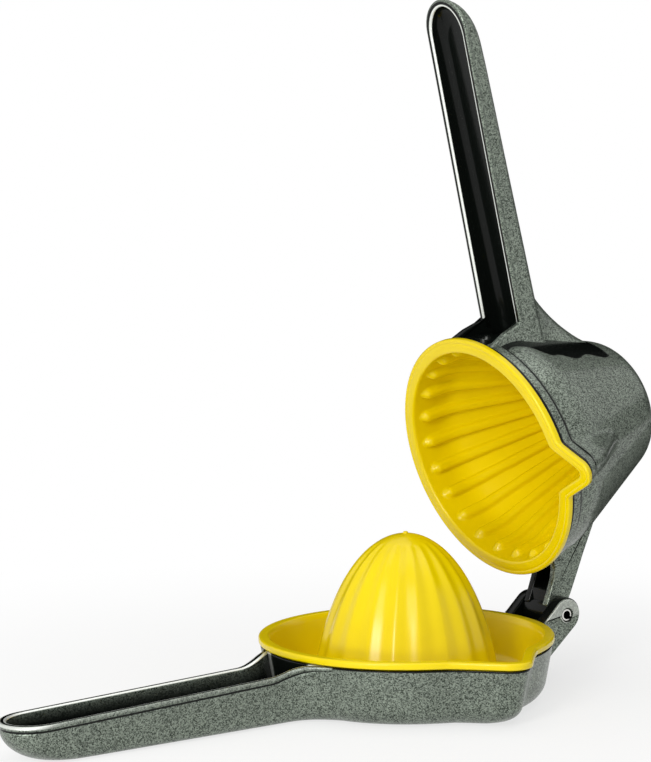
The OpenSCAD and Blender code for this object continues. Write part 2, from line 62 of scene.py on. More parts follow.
SPOUT_LEAN, SPOUT_WALL_LEAN = 1.7, 0.25
TIP_N, STRAIGHT_N, NECK_N = 28, 60, 36
SIDE_T = np.concatenate([np.linspace(0, 1, TIP_N)]
                        + [np.linspace(0, 1, n + 1)[1:] for n in (STRAIGHT_N, NECK_N)])
SIDE_SEG = np.repeat([0, 1, 2], [TIP_N, STRAIGHT_N, NECK_N])
PAINTED_HIGHLIGHT, SPRAYED, PAINTED_SHADE = -1.0, 0.0, 1.0    # painted light: painted highlight, plain lacquer, painted shade
SAME_POINT = 1e-7


def between(a, b, t):
    return a + (b - a) * t


def smooth(t):
    t = np.clip(t, 0, 1)
    return t * t * (3 - 2 * t)


def half_plan(r, w0, w1, end, neck, stop):
    """Half of a lever's outline from above: a quarter of an ellipse round the tip, a straight
    side, and a hollow arc of radius neck that runs into the circle r and ends at the radius stop.
    """
    cx = -np.sqrt((r + neck) ** 2 - (w0 + neck) ** 2)
    cy = w0 + neck
    d = r + neck
    turn = np.arctan2(-cy, -cx) - np.arccos(
        np.clip((d * d + neck * neck - stop * stop) / (2 * d * neck), -1, 1))
    tip_x = TIP_ROUND - end
    quarter = SIDE_T * math.pi / 2
    hollow = between(-math.pi / 2, turn, SIDE_T)
    x = np.choose(SIDE_SEG, [tip_x - TIP_ROUND * np.cos(quarter), between(tip_x, cx, SIDE_T),
                             cx + neck * np.cos(hollow)])
    y = np.choose(SIDE_SEG, [w1 * np.sin(quarter), between(w1, w0, SIDE_T),
                             cy + neck * np.sin(hollow)])
    return x, y


def spout_radius(a, c, tip, flare):
    """Polar radius of a spout: an arc of radius tip about a point c out, with flaring sides."""
    edge = np.arctan2(tip * np.cos(flare), c + tip * np.sin(flare))
    nose = c * np.cos(a) + np.sqrt(np.clip(tip * tip - (c * np.sin(a)) ** 2, 0, None))
    return np.where(a < edge, nose, (tip + c * np.sin(flare)) / np.sin(flare + a))


def mouth_radius(turn, r, c, tip, flare, k):
    """Polar radius of a circle r with a spout towards -Y: the larger of the two, blended over
    the length k."""
    a = np.minimum(np.abs((turn + math.pi / 2 + math.pi) % (2 * math.pi) - math.pi), SPOUT_SIDE)
    s = spout_radius(a, c, tip, flare)
    gap = np.abs(r - s)
    return (r + s + np.sqrt(gap * gap + k * k)) / 2 - k * k / (4 * (gap + k))


def rounding(r, n, start=0.0, stop=math.pi / 2):
    """A corner rounded by r, as n pairs between two angles: the distances of each point from the
    side that the arc leaves at the angle 0, and from the side that it reaches at 90 degrees."""
    return [(r * (1 - math.cos(a)), r * (1 - math.sin(a))) for a in np.linspace(start, stop, n)]


def tip_inset(z, run=TIP_RUN, rise=TIP_RISE):
    """How far the rounding under a handle's tip draws it back at the height z: an ellipse."""
    return run * (1 - np.sqrt(1 - (1 - np.clip(z / rise, 0, 1)) ** 2))


def tip_swell(x):
    """From 0 to 1 along the last stretch of a handle, where its edge grows into the tip's."""
    return np.clip((2 * TIP_RISE - HANDLE_END - x) / (2 * TIP_RISE), 0, 1) ** 2


def solid(name, rings, first=None, last=None, painted_light=SPRAYED, tube=False):
    """A closed surface through rings (row, point, xyz in mm). Each end is closed by a fan from
    the point given, or by one flat face, or in a tube the last ring joins the first. Faces are
    turned outwards by the sign of the volume. The painted light, a painted highlight below 0 and
    painted shade above 0, is given for each ring or point."""
    rows, n, _ = rings.shape
    v = rings.reshape(-1, 3)
    i = np.arange(n)
    row = np.arange(rows if tube else rows - 1)[:, None]
    a, b = (row * n + i).ravel(), (row * n + (i + 1) % n).ravel()
    d, c = ((row + 1) % rows * n + i).ravel(), ((row + 1) % rows * n + (i + 1) % n).ravel()
    quads = np.stack([a, b, c, d], 1)
    p, q, s, t = (v[quads[:, k]] for k in range(4))
    volume = np.einsum("ij,ij->", p, np.cross(q, s)) + np.einsum("ij,ij->", p, np.cross(s, t))
    faces = quads.tolist()
    for end, row, turn in () if tube else ((first, 0, -1), (last, rows - 1, 1)):
        loop = (row * n + i)[::turn]
        centre = v[row * n:(row + 1) * n].mean(0) if end is None else np.asarray(end, float)
        volume += np.einsum("ij,ij->", np.broadcast_to(centre, (n, 3)),
                            np.cross(v[loop], v[np.roll(loop, -1)]))
        if end is None:
            faces.append(loop.tolist())
        else:
            faces += np.stack([loop, np.roll(loop, -1), np.full(n, len(v))], 1).tolist()
            v = np.vstack([v, centre])
    if volume < 0:
        faces = [f[::-1] for f in faces]
    mesh = bpy.data.meshes.new(name)
    mesh.from_pydata((v * 0.001).tolist(), [], faces)
    mesh.shade_smooth()
    painted_light = np.asarray(painted_light, float)
    tone = np.broadcast_to(painted_light[:, None] if painted_light.ndim == 1 else painted_light, (rows, n))
    ends = [tone[row, 0] for row, end in ((0, first), (-1, last)) if end is not None]
    tone = np.append(tone, ends).astype(np.float32)
    mesh.attributes.new("painted_light", "FLOAT", "POINT").data.foreach_set("value", tone)
    made = bmesh.new()
    made.from_mesh(mesh)
    bmesh.ops.remove_doubles(made, verts=made.verts, dist=SAME_POINT)
    made.to_mesh(mesh)
    made.free()
    obj = bpy.data.objects.new(name, mesh)
    bpy.context.scene.collection.objects.link(obj)
    return obj


def joined(name, parts):
    """Several closed surfaces as one piece."""
    with bpy.context.temp_override(active_object=parts[0], selected_editable_objects=parts):
        bpy.ops.object.join()
    parts[0].name = parts[0].data.name = name
    return parts[0]


def low_ring(z, in_r, in_w, in_e, neck=LOW_NECK, wall=0.0):
    """One ring of the lower casting: the outline of holder and handle, inset by in_r, in_w and
    in_e at the holder, the handle's sides and the tip, at the height z of each point. The spout
    leans in more than the holder does, and the part of the inset that is wall is thin there."""
    n = len(SIDE_T)
    args = [np.broadcast_to(v, RING_N) for v in (z, in_r, in_w, in_e, neck)]
    near = [v[:n] for v in args]
    far = [v[-n:][::-1] for v in args]
    sides = [half_plan(HOLDER_R - r, LOW_W0 - w, LOW_W1 - w, HANDLE_END - e, k, HOLDER_R - r)
             for _, r, w, e, k in (near, far)]
    a0 = math.atan2(sides[0][1][-1], sides[0][0][-1])
    turn = between(a0, -a0, POLAR)
    r = args[1][n:-n]
    wall = np.broadcast_to(wall, RING_N)[n:-n]
    q = mouth_radius(turn, HOLDER_R - r, SPOUT_C - SPOUT_LEAN * (r - wall) - SPOUT_WALL_LEAN * wall,
                     SPOUT_TIP, SPOUT_FLARE, SPOUT_BLEND)
    x = np.concatenate([sides[0][0], q * np.cos(turn), sides[1][0][::-1]])
    y = np.concatenate([sides[0][1], q * np.sin(turn), -sides[1][1][::-1]])
    return np.stack([x, y, args[0]], 1)


# the holder's points lie closer together round the spout
HOLDER_N, CROWD, CROWD_AT, CROWD_RUN = 320, 5, 0.773, 0.08
grid = np.linspace(0, 1, 2001)
weight = 1 + CROWD * np.exp(-((grid - CROWD_AT) / CROWD_RUN) ** 2)
POLAR = np.interp(np.linspace(0, 1, HOLDER_N + 2)[1:-1], np.cumsum(weight) / weight.sum(), grid)
RING_N = 2 * len(SIDE_T) + HOLDER_N

plan_x = low_ring(0, 0, 0, 0)[:, 0]
climb = smooth((plan_x - LOW_RISE_X) / LOW_RISE)
holder = smooth((plan_x - HOLDER_X) / HOLDER_RUN)
along = (LOW_RISE_X - plan_x) / (HANDLE_END + LOW_RISE_X)
rim = between(between(LOW_RIM_ROOT, LOW_RIM_END, along), HOLDER_Z,
              smooth((plan_x - LOW_RISE_X) / (LOW_RISE - RIM_LEAD)))
edge = between(between(HANDLE_EDGE, TIP_RISE, tip_swell(plan_x)), HOLDER_EDGE, climb)


def edge_inset(a, draft, top, f):
    """How far a drafted wall's rounded bottom edge of radius f is drawn in at the angle a."""
    return f * (math.cos(draft) - math.cos(a)) + math.tan(draft) * (top - f * (1 - math.sin(draft)))


def low_wall(z):
    """Insets of the leaning outer wall at height z, straight from the bottom edge to the top."""
    low = edge * (1 - math.sin(HOLDER_DRAFT))
    t = (z - low) / (HOLDER_Z - low)
    widen = math.tan(HANDLE_DRAFT) * (HOLDER_Z - LOW_RIM_ROOT)
    return (between(edge_inset(HOLDER_DRAFT, HOLDER_DRAFT, HOLDER_Z, HOLDER_EDGE), 0, t),
            between(edge_inset(HOLDER_DRAFT, HANDLE_DRAFT, LOW_RIM_ROOT, HANDLE_EDGE), -widen, t),
            between(tip_inset(TIP_RISE * (1 - math.sin(HOLDER_DRAFT))), 0, np.clip(t, 0, 1)))


# the rim: a groove, given as its depths on the handle and on the holder and its share of the
# recess, a rounded bead that stands out of the recess, a flat top and a small inner edge
GROOVE = ((2.4, 1.4, 1.0), (2.1, 1.3, 1.6), (1.75, 1.2, 1.5), (1.5, 1.1, 0.35), (1.3, 1.0, 0.0))
RECESS, BEAD_R, HOLDER_BEAD_R = 0.35, 0.9, 0.6
BEAD_N, BEAD_START = 9, 0.1
INNER_R, INNER_N, TOP_ROWS = 0.5, 5, (0.8, 0.7)
recess = RECESS * (1 - holder)
bead_r = between(BEAD_R, HOLDER_BEAD_R, holder)
rim_w = between(RIM_W, HOLDER_WALL, holder)


def rim_profile():
    """The rim's section as (depth below its top, inset from the wall). Its inner edge begins a
    little before its bend, so that the flat top stays flat."""
    rows = [(between(handle, low, holder), recess * share) for handle, low, share in GROOVE]
    rows += [(down, aside) for aside, down in rounding(bead_r, BEAD_N, BEAD_START)]
    rows += [(0, rim_w - before) for before in TOP_ROWS]
    rows += [(INNER_R * (1 - math.cos(a)), rim_w - INNER_R + INNER_R * math.sin(a))
             for a in np.linspace(0, math.pi / 2, INNER_N)]
    return rows


def drawn_in(ring, x):
    """A flat end's ring, drawn in by a hundredth towards its middle, so that its shade is even."""
    flat = ring.copy()
    flat[:, :2] = between(flat[:, :2], [x, 0], 0.01)
    return flat


EDGE_N, WALL_N, CHANNEL_N, FILLET_N = 14, 8, 11, 8
LOW_MIDDLE = -HOLDER_R / 2
rings = []
for a in np.linspace(math.pi / 2, HOLDER_DRAFT, EDGE_N):
    rings.append(low_ring(edge * (1 - math.sin(a)),
                          edge_inset(a, HOLDER_DRAFT, HOLDER_Z, HOLDER_EDGE) + recess,
                          edge_inset(a, HANDLE_DRAFT, LOW_RIM_ROOT, HANDLE_EDGE) + recess,
                          tip_inset(TIP_RISE * (1 - math.sin(a))) + recess))
rings.insert(0, drawn_in(rings[0], LOW_MIDDLE))
profile = rim_profile()
low_edge_z = edge * (1 - math.sin(HOLDER_DRAFT))
for t in np.linspace(0, 1, WALL_N)[1:-1]:
    z = between(low_edge_z, rim - profile[0][0], t)
    rings.append(low_ring(z, *(v + recess for v in low_wall(z))))
first_row = len(rings)
for depth, inset in profile:
    z = rim - depth
    rings.append(low_ring(z, *(v + inset for v in low_wall(z)), wall=inset))
channel = [(between(rim - INNER_R, WEB + CHANNEL_EDGE, t), rim_w)
           for t in np.linspace(0, 1, CHANNEL_N)[1:] ** 2]
channel += [(np.full(RING_N, WEB + lift), rim_w + aside)
            for aside, lift in rounding(CHANNEL_EDGE, FILLET_N)[1:]]
for z, more in channel:
    in_r, in_w, in_e = low_wall(z)
    rings.append(low_ring(z, in_r + more, in_w + more, tip_inset(z) + more, LOW_NECK + more,
                          rim_w))
rings.append(drawn_in(rings[-1], LOW_MIDDLE))

HIGHLIGHT_ROWS = 6                    # rows of the rim's inner edge that get a painted highlight
DARK_ROWS = 2                      # rows of its flat top that get painted shade
FADE_ROWS = 9                      # rows down the channel's wall before its painted shade is black


def rim_painted_light(count, first_row, groove, bead, wall):
    """Painted light of a trough's rings: painted shade darkens the rim's flat top and the channel's
    floor, and a painted highlight brightens the rim's inner edge. groove, bead and wall are the
    painted light of the groove, of the rim's outer edge at each point, and of the top of the
    channel's wall."""
    row = np.arange(count) - first_row
    inside = row - len(profile)
    painted_light = np.where(inside >= 0, between(wall, PAINTED_SHADE, np.clip(inside / FADE_ROWS, 0, 1)), SPRAYED)
    painted_light[(row == 1) | (row == 2)] = groove
    painted_light[(inside >= -HIGHLIGHT_ROWS - DARK_ROWS) & (inside < -HIGHLIGHT_ROWS)] = PAINTED_SHADE
    painted_light[(inside >= -HIGHLIGHT_ROWS) & (inside < -1)] = PAINTED_HIGHLIGHT
    on_bead = (row >= len(GROOVE)) & (inside < -HIGHLIGHT_ROWS - DARK_ROWS - 1)
    return np.where(on_bead[:, None], bead, painted_light[:, None])


# painted shadow on the holder's top edge, which lies in the flange's shadow, painted shade in
# the handle's groove and down its channel, and a painted highlight on the tip's bead
SHADOW_ROW, HOLDER_RIM_X = 5, 4 - HOLDER_R
TIP_HIGHLIGHT, TIP_HIGHLIGHT_MORE, TIP_HIGHLIGHT_X, TIP_HIGHLIGHT_RUN = -0.25, -0.4, -130, 12
CHANNEL_TOP = 0.35
shadow = PAINTED_SHADE * (np.arange(len(rings)) > first_row + SHADOW_ROW)[:, None]
painted_tip_highlight = TIP_HIGHLIGHT + TIP_HIGHLIGHT_MORE * smooth((TIP_HIGHLIGHT_X - plan_x) / TIP_HIGHLIGHT_RUN)
painted_light = np.where(plan_x < HOLDER_RIM_X,
                  rim_painted_light(len(rings), first_row, PAINTED_SHADE, painted_tip_highlight, CHANNEL_TOP), shadow)
trough = solid("lower_trough", np.array(rings), (LOW_MIDDLE, 0, 0), (LOW_MIDDLE, 0, WEB), painted_light)

# the holder's wall where it closes the handle's channel, as sections side by side. Its foot
# climbs towards the ends, where the bowl's underside rises.
CROSS_FOOT, CROSS_LOW, CROSS_EDGE, CROSS_SIDE, CROSS_N = 1.5, 10, 0.5, 19, 27
CROSS_T = HOLDER_WALL - 0.1
FOOT_CLIMB, CLIMB_FROM, CLIMB_OVER, HIGHLIGHT_FROM = 9.0, 9, 4, 12.5
section = [(0, CROSS_FOOT)] + [(0, z) for z in np.linspace(CROSS_LOW, HOLDER_Z - CROSS_EDGE, 6)]
section += [(aside, HOLDER_Z - down) for aside, down in rounding(CROSS_EDGE, 5)[1:]]
section += [(CROSS_T, HOLDER_Z), (CROSS_T, CROSS_FOOT)]
section = np.array(section)
turn = np.radians(np.linspace(180 - CROSS_SIDE, 180 + CROSS_SIDE, CROSS_N))[:, None]
aside = np.abs(np.degrees(turn) - 180)
foot = between(CROSS_FOOT, FOOT_CLIMB, smooth((aside - CLIMB_FROM) / CLIMB_OVER))
height = np.maximum(section[:, 1], foot)
radius = HOLDER_R - math.tan(HOLDER_DRAFT) * (HOLDER_Z - height) - section[:, 0]
# painted shade on the middle of this wall and a painted highlight on its two ends
cross_wall = solid("cross_wall",
                   np.stack([radius * np.cos(turn), radius * np.sin(turn), height], 2),
                   painted_light=np.where(aside > HIGHLIGHT_FROM, -0.9, 0.9) * np.ones(len(section)))


def rounded(points, radius, n=240):
    """A closed outline with its corners rounded: resampled evenly along its length, then each
    point is moved to the mean of its neighbours within about radius."""
    p = np.asarray(points, float)
    p = np.vstack([p, p[:1]])
    along = np.concatenate([[0], np.cumsum(np.linalg.norm(np.diff(p, axis=0), axis=1))])
    at = np.linspace(0, along[-1], n, endpoint=False)
    q = np.stack([np.interp(at, along, p[:, k]) for k in (0, 1)], 1)
    reach = max(1, int(radius / along[-1] * n))
    kernel = np.hanning(2 * reach + 3)[1:-1]
    kernel /= kernel.sum()
    wide = np.vstack([q[-reach:], q, q[:reach]])
    return np.stack([np.convolve(wide[:, k], kernel, "valid") for k in (0, 1)], 1)


BORE_EDGE = 0.3


def plate(name, outline, y0, y1, r, place=lambda p: p, painted_light=(SPRAYED, SPRAYED), bore=None):
    """An outline in the XZ plane made a plate from y0 to y1, its edges rounded by r. Its painted
    light, given as a pair, is that of its face at y0, and of its edge and its face at y1. bore is
    the centre and radius of a hole, which the outline is seen whole from; the hole's wall gets
    painted shade."""
    step = np.roll(outline, -1, 0) - np.roll(outline, 1, 0)
    normal = np.stack([step[:, 1], -step[:, 0]], 1) / np.linalg.norm(step, axis=1)[:, None]
    area = np.sum(outline[:, 0] * np.roll(outline[:, 1], -1)
                  - np.roll(outline[:, 0], -1) * outline[:, 1])
    normal *= np.sign(area)
    way = math.copysign(1, y1 - y0)
    rows = [(r * 1.1, y0)] + [(inset, y0 + way * down) for down, inset in rounding(r, 6)]
    rows += [(inset, y1 - way * down) for down, inset in rounding(r, 6)[::-1]] + [(r * 1.1, y1)]
    rings = []
    for inset, y in rows:
        p = outline - inset * normal
        rings.append(np.stack([p[:, 0], np.full(len(p), y), p[:, 1]], 1))
    tones = [painted_light[0]] * 3 + [painted_light[1]] * (len(rows) - 3)
    if bore is None:
        return solid(name, place(np.array(rings)), painted_light=tones)
    x, z, radius = bore
    angle = np.arctan2(outline[:, 1] - z, outline[:, 0] - x)
    deep = way * BORE_EDGE
    for wide, y in ((0.0, y1 - deep), (0.0, y0 + deep), (0.1, y0 + deep / 3), (BORE_EDGE, y0)):
        rings.append(np.stack([x + (radius + wide) * np.cos(angle), np.full(len(angle), y),
                               z + (radius + wide) * np.sin(angle)], 1))
    rings.insert(len(rows), rings[-1] + [0, y1 - y0, 0])
    # painted shade down the hole's wall
    tones += [painted_light[1], PAINTED_SHADE, PAINTED_SHADE, 0.5, painted_light[0]]
    return solid(name, place(np.array(rings)), painted_light=tones, tube=True)


def arc(x, z, r, a0, a1, n=24):
    """Points on the circle r round x, z, from the angle a0 to a1 in degrees."""
    a = np.radians(np.linspace(a0, a1, n))
    return np.stack([x + r * np.cos(a), z + r * np.sin(a)], 1)


# two lugs carry the pin: an eye, and a plate that runs down into the holder's wall
HINGE_X, HINGE_Z = 58.031, 21.4
EYE_R, LUG_T, ARM_HALF, PLAY = 5.65, 4.0, 6.0, 0.35
LUG_LEAN, LUG_FOOT_X, LUG_FOOT_W, LUG_FOOT_Z = 43, 44.5, 2.0, 4.2
CAST_EDGE = 0.5                    # rounding of the castings' plates
lean = math.radians(LUG_LEAN)
lug = np.vstack([arc(HINGE_X, HINGE_Z, EYE_R, LUG_LEAN - 90, LUG_LEAN + 90, 60),
                 [[LUG_FOOT_X, HINGE_Z + EYE_R * math.cos(lean)
                   - math.tan(lean) * (HINGE_X - EYE_R * math.sin(lean) - LUG_FOOT_X)],
                  [LUG_FOOT_X - 1, LUG_FOOT_Z], [LUG_FOOT_X + LUG_FOOT_W, LUG_FOOT_Z]]])
PIN_R, PIN_PLAY = 2.0, 0.05
bore = (HINGE_X, HINGE_Z, PIN_R + PIN_PLAY)
LUG_IN, LUG_OUT = ARM_HALF + PLAY, ARM_HALF + PLAY + LUG_T
# painted shade on each lug's edges and inner face
lugs = [plate("lug", rounded(lug, 0.7), side * LUG_OUT, side * LUG_IN, CAST_EDGE,
              painted_light=(SPRAYED, PAINTED_SHADE), bore=bore) for side in (-1, 1)]
# the eye's upper half stands a little proud of each lug's outer face, with a painted highlight
# on that face and a brighter painted highlight on its lower edge
PAD_PROUD, PAD_BORE_R, PAD_HOLLOW_R = 0.5, PIN_R + 0.2, 2.65
pad = rounded(np.vstack([arc(HINGE_X, HINGE_Z, EYE_R - 0.5, -6, 133, 40),
                         [[HINGE_X - 9.0, HINGE_Z - 1.2], [HINGE_X - 3.2, HINGE_Z - 0.3]],
                         arc(HINGE_X, HINGE_Z, PAD_HOLLOW_R, 200, 340, 30),
                         [[HINGE_X + 3.2, HINGE_Z - 0.4]]]), 0.2)
lugs += [plate("lug_pad", pad, side * (LUG_OUT + PAD_PROUD), side * (LUG_OUT - PAD_PROUD), 0.25,
               painted_light=(-0.4, -0.9), bore=(HINGE_X, HINGE_Z, PAD_BORE_R)) for side in (-1, 1)]
lower = joined("lower_casting_lacquered", [trough, cross_wall] + lugs)
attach(lower, "lower")
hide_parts("lower_casting")


def linear(hex_colour):
    """An sRGB hex colour as linear RGBA."""
    c = np.array([int(hex_colour[k:k + 2], 16) for k in (1, 3, 5)]) / 255
    return (*np.where(c <= 0.04045, c / 12.92, ((c + 0.055) / 1.055) ** 2.4), 1.0)


def node(tree, kind, settings=(), inputs=(), links=()):
    """Adds a node with its settings, its inputs' values and the sockets that feed its inputs."""
    made = tree.nodes.new("ShaderNode" + kind)
    for key, value in dict(settings).items():
        setattr(made, key, value)
    for key, value in dict(inputs).items():
        made.inputs[key].default_value = value
    for key, socket in dict(links).items():
        tree.links.new(socket, made.inputs[key])
    return made


def new_material(name):
    made = bpy.data.materials.new(name)
    made.use_nodes = True
    made.node_tree.nodes.clear()
    return made, made.node_tree


# Sprayed metallic lacquer: fine bright flakes under a clear gloss, which the eye gets as a
# speckled grey. An attribute of the mesh mixes in painted light: a near white painted highlight
# along the edges, and gloss black painted shade, for dark reflections, in the channels and hollows.
# The real flakes are finer: they are as coarse as they need to show.
FLAKE_MM, DRIFT_MM = 0.34, 22
FLAKE_DARK, FLAKE_PALE, PAINTED_SHADE_COLOUR, PAINTED_HIGHLIGHT_COLOUR = "#262E26", "#929C8F", "#0B0E0C", "#E9ECE6"
lacquer, tree = new_material("grey_lacquer_with_painted_light")
coords = node(tree, "TexCoord")
flakes = node(tree, "TexVoronoi", inputs={"Scale": 1000 / FLAKE_MM},
              links={"Vector": coords.outputs["Object"]})
flakes = node(tree, "SeparateColor", links={"Color": flakes.outputs["Color"]})
drift = node(tree, "TexNoise", {"noise_dimensions": "3D"},
             {"Scale": 1000 / DRIFT_MM, "Detail": 3.0, "Roughness": 0.55},
             {"Vector": coords.outputs["Object"]})
tint = node(tree, "ValToRGB", links={"Fac": flakes.outputs["Red"]})
tint.color_ramp.elements[0].position, tint.color_ramp.elements[1].position = 0.0, 1.0
tint.color_ramp.elements[0].color = linear(FLAKE_DARK)
tint.color_ramp.elements[1].color = linear(FLAKE_PALE)
shade = node(tree, "MapRange", inputs={"From Min": 0.35, "From Max": 0.65, "To Min": 0.93,
                                       "To Max": 1.05}, links={"Value": drift.outputs["Fac"]})
grey = node(tree, "Mix", {"data_type": "RGBA", "blend_type": "MULTIPLY"}, {0: 1.0},
            {6: tint.outputs["Color"], 7: shade.outputs["Result"]})
painted_light = node(tree, "Attribute", {"attribute_name": "painted_light"})
# painted highlight: near white where the attribute is below 0
painted_highlight_mask = node(tree, "MapRange", {"interpolation_type": "SMOOTHSTEP"},
              {"From Min": -0.1, "From Max": -0.9}, {"Value": painted_light.outputs["Fac"]})
grey = node(tree, "Mix", {"data_type": "RGBA"}, {7: linear(PAINTED_HIGHLIGHT_COLOUR)},
            {0: painted_highlight_mask.outputs["Result"], 6: grey.outputs[2]})
# painted shade: black where the attribute is above 0
painted_shade_mask = node(tree, "MapRange", {"interpolation_type": "SMOOTHSTEP"},
            {"From Min": 0.15, "From Max": 0.85}, {"Value": painted_light.outputs["Fac"]})
colour = node(tree, "Mix", {"data_type": "RGBA"}, {7: linear(PAINTED_SHADE_COLOUR)},
              {0: painted_shade_mask.outputs["Result"], 6: grey.outputs[2]})
# under painted shade the surface is a smooth non-metal without the clear coat
metal = node(tree, "MapRange", inputs={"To Min": 0.75, "To Max": 0.0},
             links={"Value": painted_shade_mask.outputs["Result"]})
gloss = node(tree, "MapRange", inputs={"To Min": 0.42, "To Max": 0.16},
             links={"Value": painted_shade_mask.outputs["Result"]})
clear = node(tree, "MapRange", inputs={"To Min": 0.3, "To Max": 0.0},
             links={"Value": painted_shade_mask.outputs["Result"]})
grain = node(tree, "Bump", inputs={"Strength": 0.2, "Distance": 0.00005},
             links={"Height": flakes.outputs["Green"]})
shader = node(tree, "BsdfPrincipled",
              inputs={"Specular IOR Level": 0.15, "Coat Roughness": 0.07},
              links={"Base Color": colour.outputs[2], "Metallic": metal.outputs["Result"],
                     "Roughness": gloss.outputs["Result"], "Coat Weight": clear.outputs["Result"],
                     "Normal": grain.outputs["Normal"]})
node(tree, "OutputMaterial", links={"Surface": shader.outputs["BSDF"]})
lower.data.materials.append(lacquer)

# ------------------------------------------------------------------ dish with its reamer
# The juice dish and its fluted reamer: one injection moulding in glossy yellow plastic, dropped
# into the lower casting. Its flange hides the casting's edge and a spout lets the juice out.

DISH_R, DISH_IN_R, FLANGE_T = 47.11, 43.63, 2.2
FLANGE_IN_EDGE, FLANGE_TOP_EDGE, FLANGE_LOW_EDGE = 0.7, 0.75, 0.55
DISH_FLOOR_Z, DISH_UNDER_Z, DISH_WALL = 6.0, 4.9, 1.1
DISH_SLOPE, DISH_FILLET = math.tan(math.radians(10.5)), 3.0
DISH_SPOUT_TIP, DISH_SPOUT_LIP = 7.2, 3.5
REAMER_H, REAMER_R, REAMER_AXIS = 32.2, 30.1, 134.0
REAMER_T = REAMER_H + RIM_Z - DISH_FLOOR_Z
REAMER_SINK, REAMER_FOOT = 0.25, 1.2
NIB = ((0.35, 0.6), (0.6, 0.58), (0.72, 0.5), (0.78, 0.35), (0.82, 0.05))   # radius and height
LOBES, LOBE_D, LOBE_BLUNT = 20, 0.62, 0.8
CAP, CAP_RUN, LOBE_START, LOBE_RUN = 2.2, 1.2, 0.35, 16
ROUND_N = 600                      # points round the dish and the cup
phi = np.linspace(math.pi, -math.pi, ROUND_N, endpoint=False)


def polar_ring(q, z):
    return np.stack([q * np.cos(phi), q * np.sin(phi), np.broadcast_to(z, q.shape)], 1)


def dish_ring(z, r, grow):
    """A ring of the dish at height z: the circle r with its spout, both grown by grow."""
    return polar_ring(mouth_radius(phi, r + grow, SPOUT_C + r - DISH_IN_R,
                                   DISH_SPOUT_TIP - DISH_SPOUT_LIP + grow, SPOUT_FLARE,
                                   SPOUT_BLEND), z)


def reamer_ring(t):
    """A ring of the reamer t below its tip: the end of a long ellipse, with soft flutes that
    start below a smooth cap."""
    r = REAMER_R * math.sqrt(t / REAMER_T * (REAMER_AXIS - t) / (REAMER_AXIS - REAMER_T))
    flute = 0.5 + 0.5 * np.cos(phi * LOBES)
    fade = float(smooth((t - CAP) / CAP_RUN)) * min(1, LOBE_START + t / LOBE_RUN)
    return polar_ring(r - LOBE_D * flute ** LOBE_BLUNT * fade, RIM_Z + REAMER_H - t)


rings = [polar_ring(np.full(ROUND_N, r), RIM_Z + REAMER_H + z) for r, z in NIB]
depths = REAMER_T * np.linspace(0.02, 1, 60) ** 2.0
rings += [reamer_ring(t) for t in depths[depths < REAMER_T - REAMER_FOOT]]
foot_r = REAMER_R - REAMER_SINK
rings += [polar_ring(np.full(ROUND_N, foot_r + aside), DISH_FLOOR_Z + lift)
          for aside, lift in rounding(REAMER_FOOT, 7, 0.15)]


def dish_wall_r(z):
    return DISH_IN_R - DISH_SLOPE * (RIM_Z - z)


def dish_wall(o, top, steps):
    """The dish's wall, o outside its inner face, from its floor's edge up to the height top."""
    draft = math.atan(DISH_SLOPE)
    zc = DISH_FLOOR_Z + DISH_FILLET
    rc = dish_wall_r(zc) - DISH_FILLET / math.cos(draft)
    rows = [(zc - (DISH_FILLET + o) * math.sin(a), rc + (DISH_FILLET + o) * math.cos(a) - o, o)
            for a in np.linspace(math.pi / 2, draft, steps)]
    z0 = rows[-1][0]
    rows += [(z, dish_wall_r(z), o / math.cos(draft)) for z in np.linspace(z0, top, 8)[1:]]
    return [dish_ring(*row) for row in rows]


rings += dish_wall(0, RIM_Z - FLANGE_IN_EDGE, 10)
# the flange: a rounded inner edge, a flat face, and a full rounded outer edge
rings += [dish_ring(RIM_Z - down, DISH_IN_R, aside)
          for aside, down in rounding(FLANGE_IN_EDGE, 6, 0.2)]


def flange_ring(inset, z):
    """A ring of the flange: its outline, drawn in by inset, at the height z."""
    return polar_ring(mouth_radius(phi, DISH_R - inset, SPOUT_C, DISH_SPOUT_TIP - inset,
                                   SPOUT_FLARE, SPOUT_BLEND), z)


UNDER_Z = RIM_Z - FLANGE_T
rings += [flange_ring(inset, RIM_Z) for inset in (2.6, 2.0, 1.4, 0.8)]
rings += [flange_ring(inset, RIM_Z - down) for down, inset in rounding(FLANGE_TOP_EDGE, 7, 0.15)]
rings += [flange_ring(inset, UNDER_Z + lift)
          for lift, inset in rounding(FLANGE_LOW_EDGE, 6, math.pi / 2, 0)]
rings += [flange_ring(1.2, UNDER_Z)]
rings += dish_wall(DISH_WALL, UNDER_Z, 6)[::-1]
dish = solid("dish_and_reamer", np.array(rings), (0, 0, RIM_Z + REAMER_H + 0.6),
             (0, 0, DISH_UNDER_Z))
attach(dish, "lower")
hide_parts("reamer_dish")

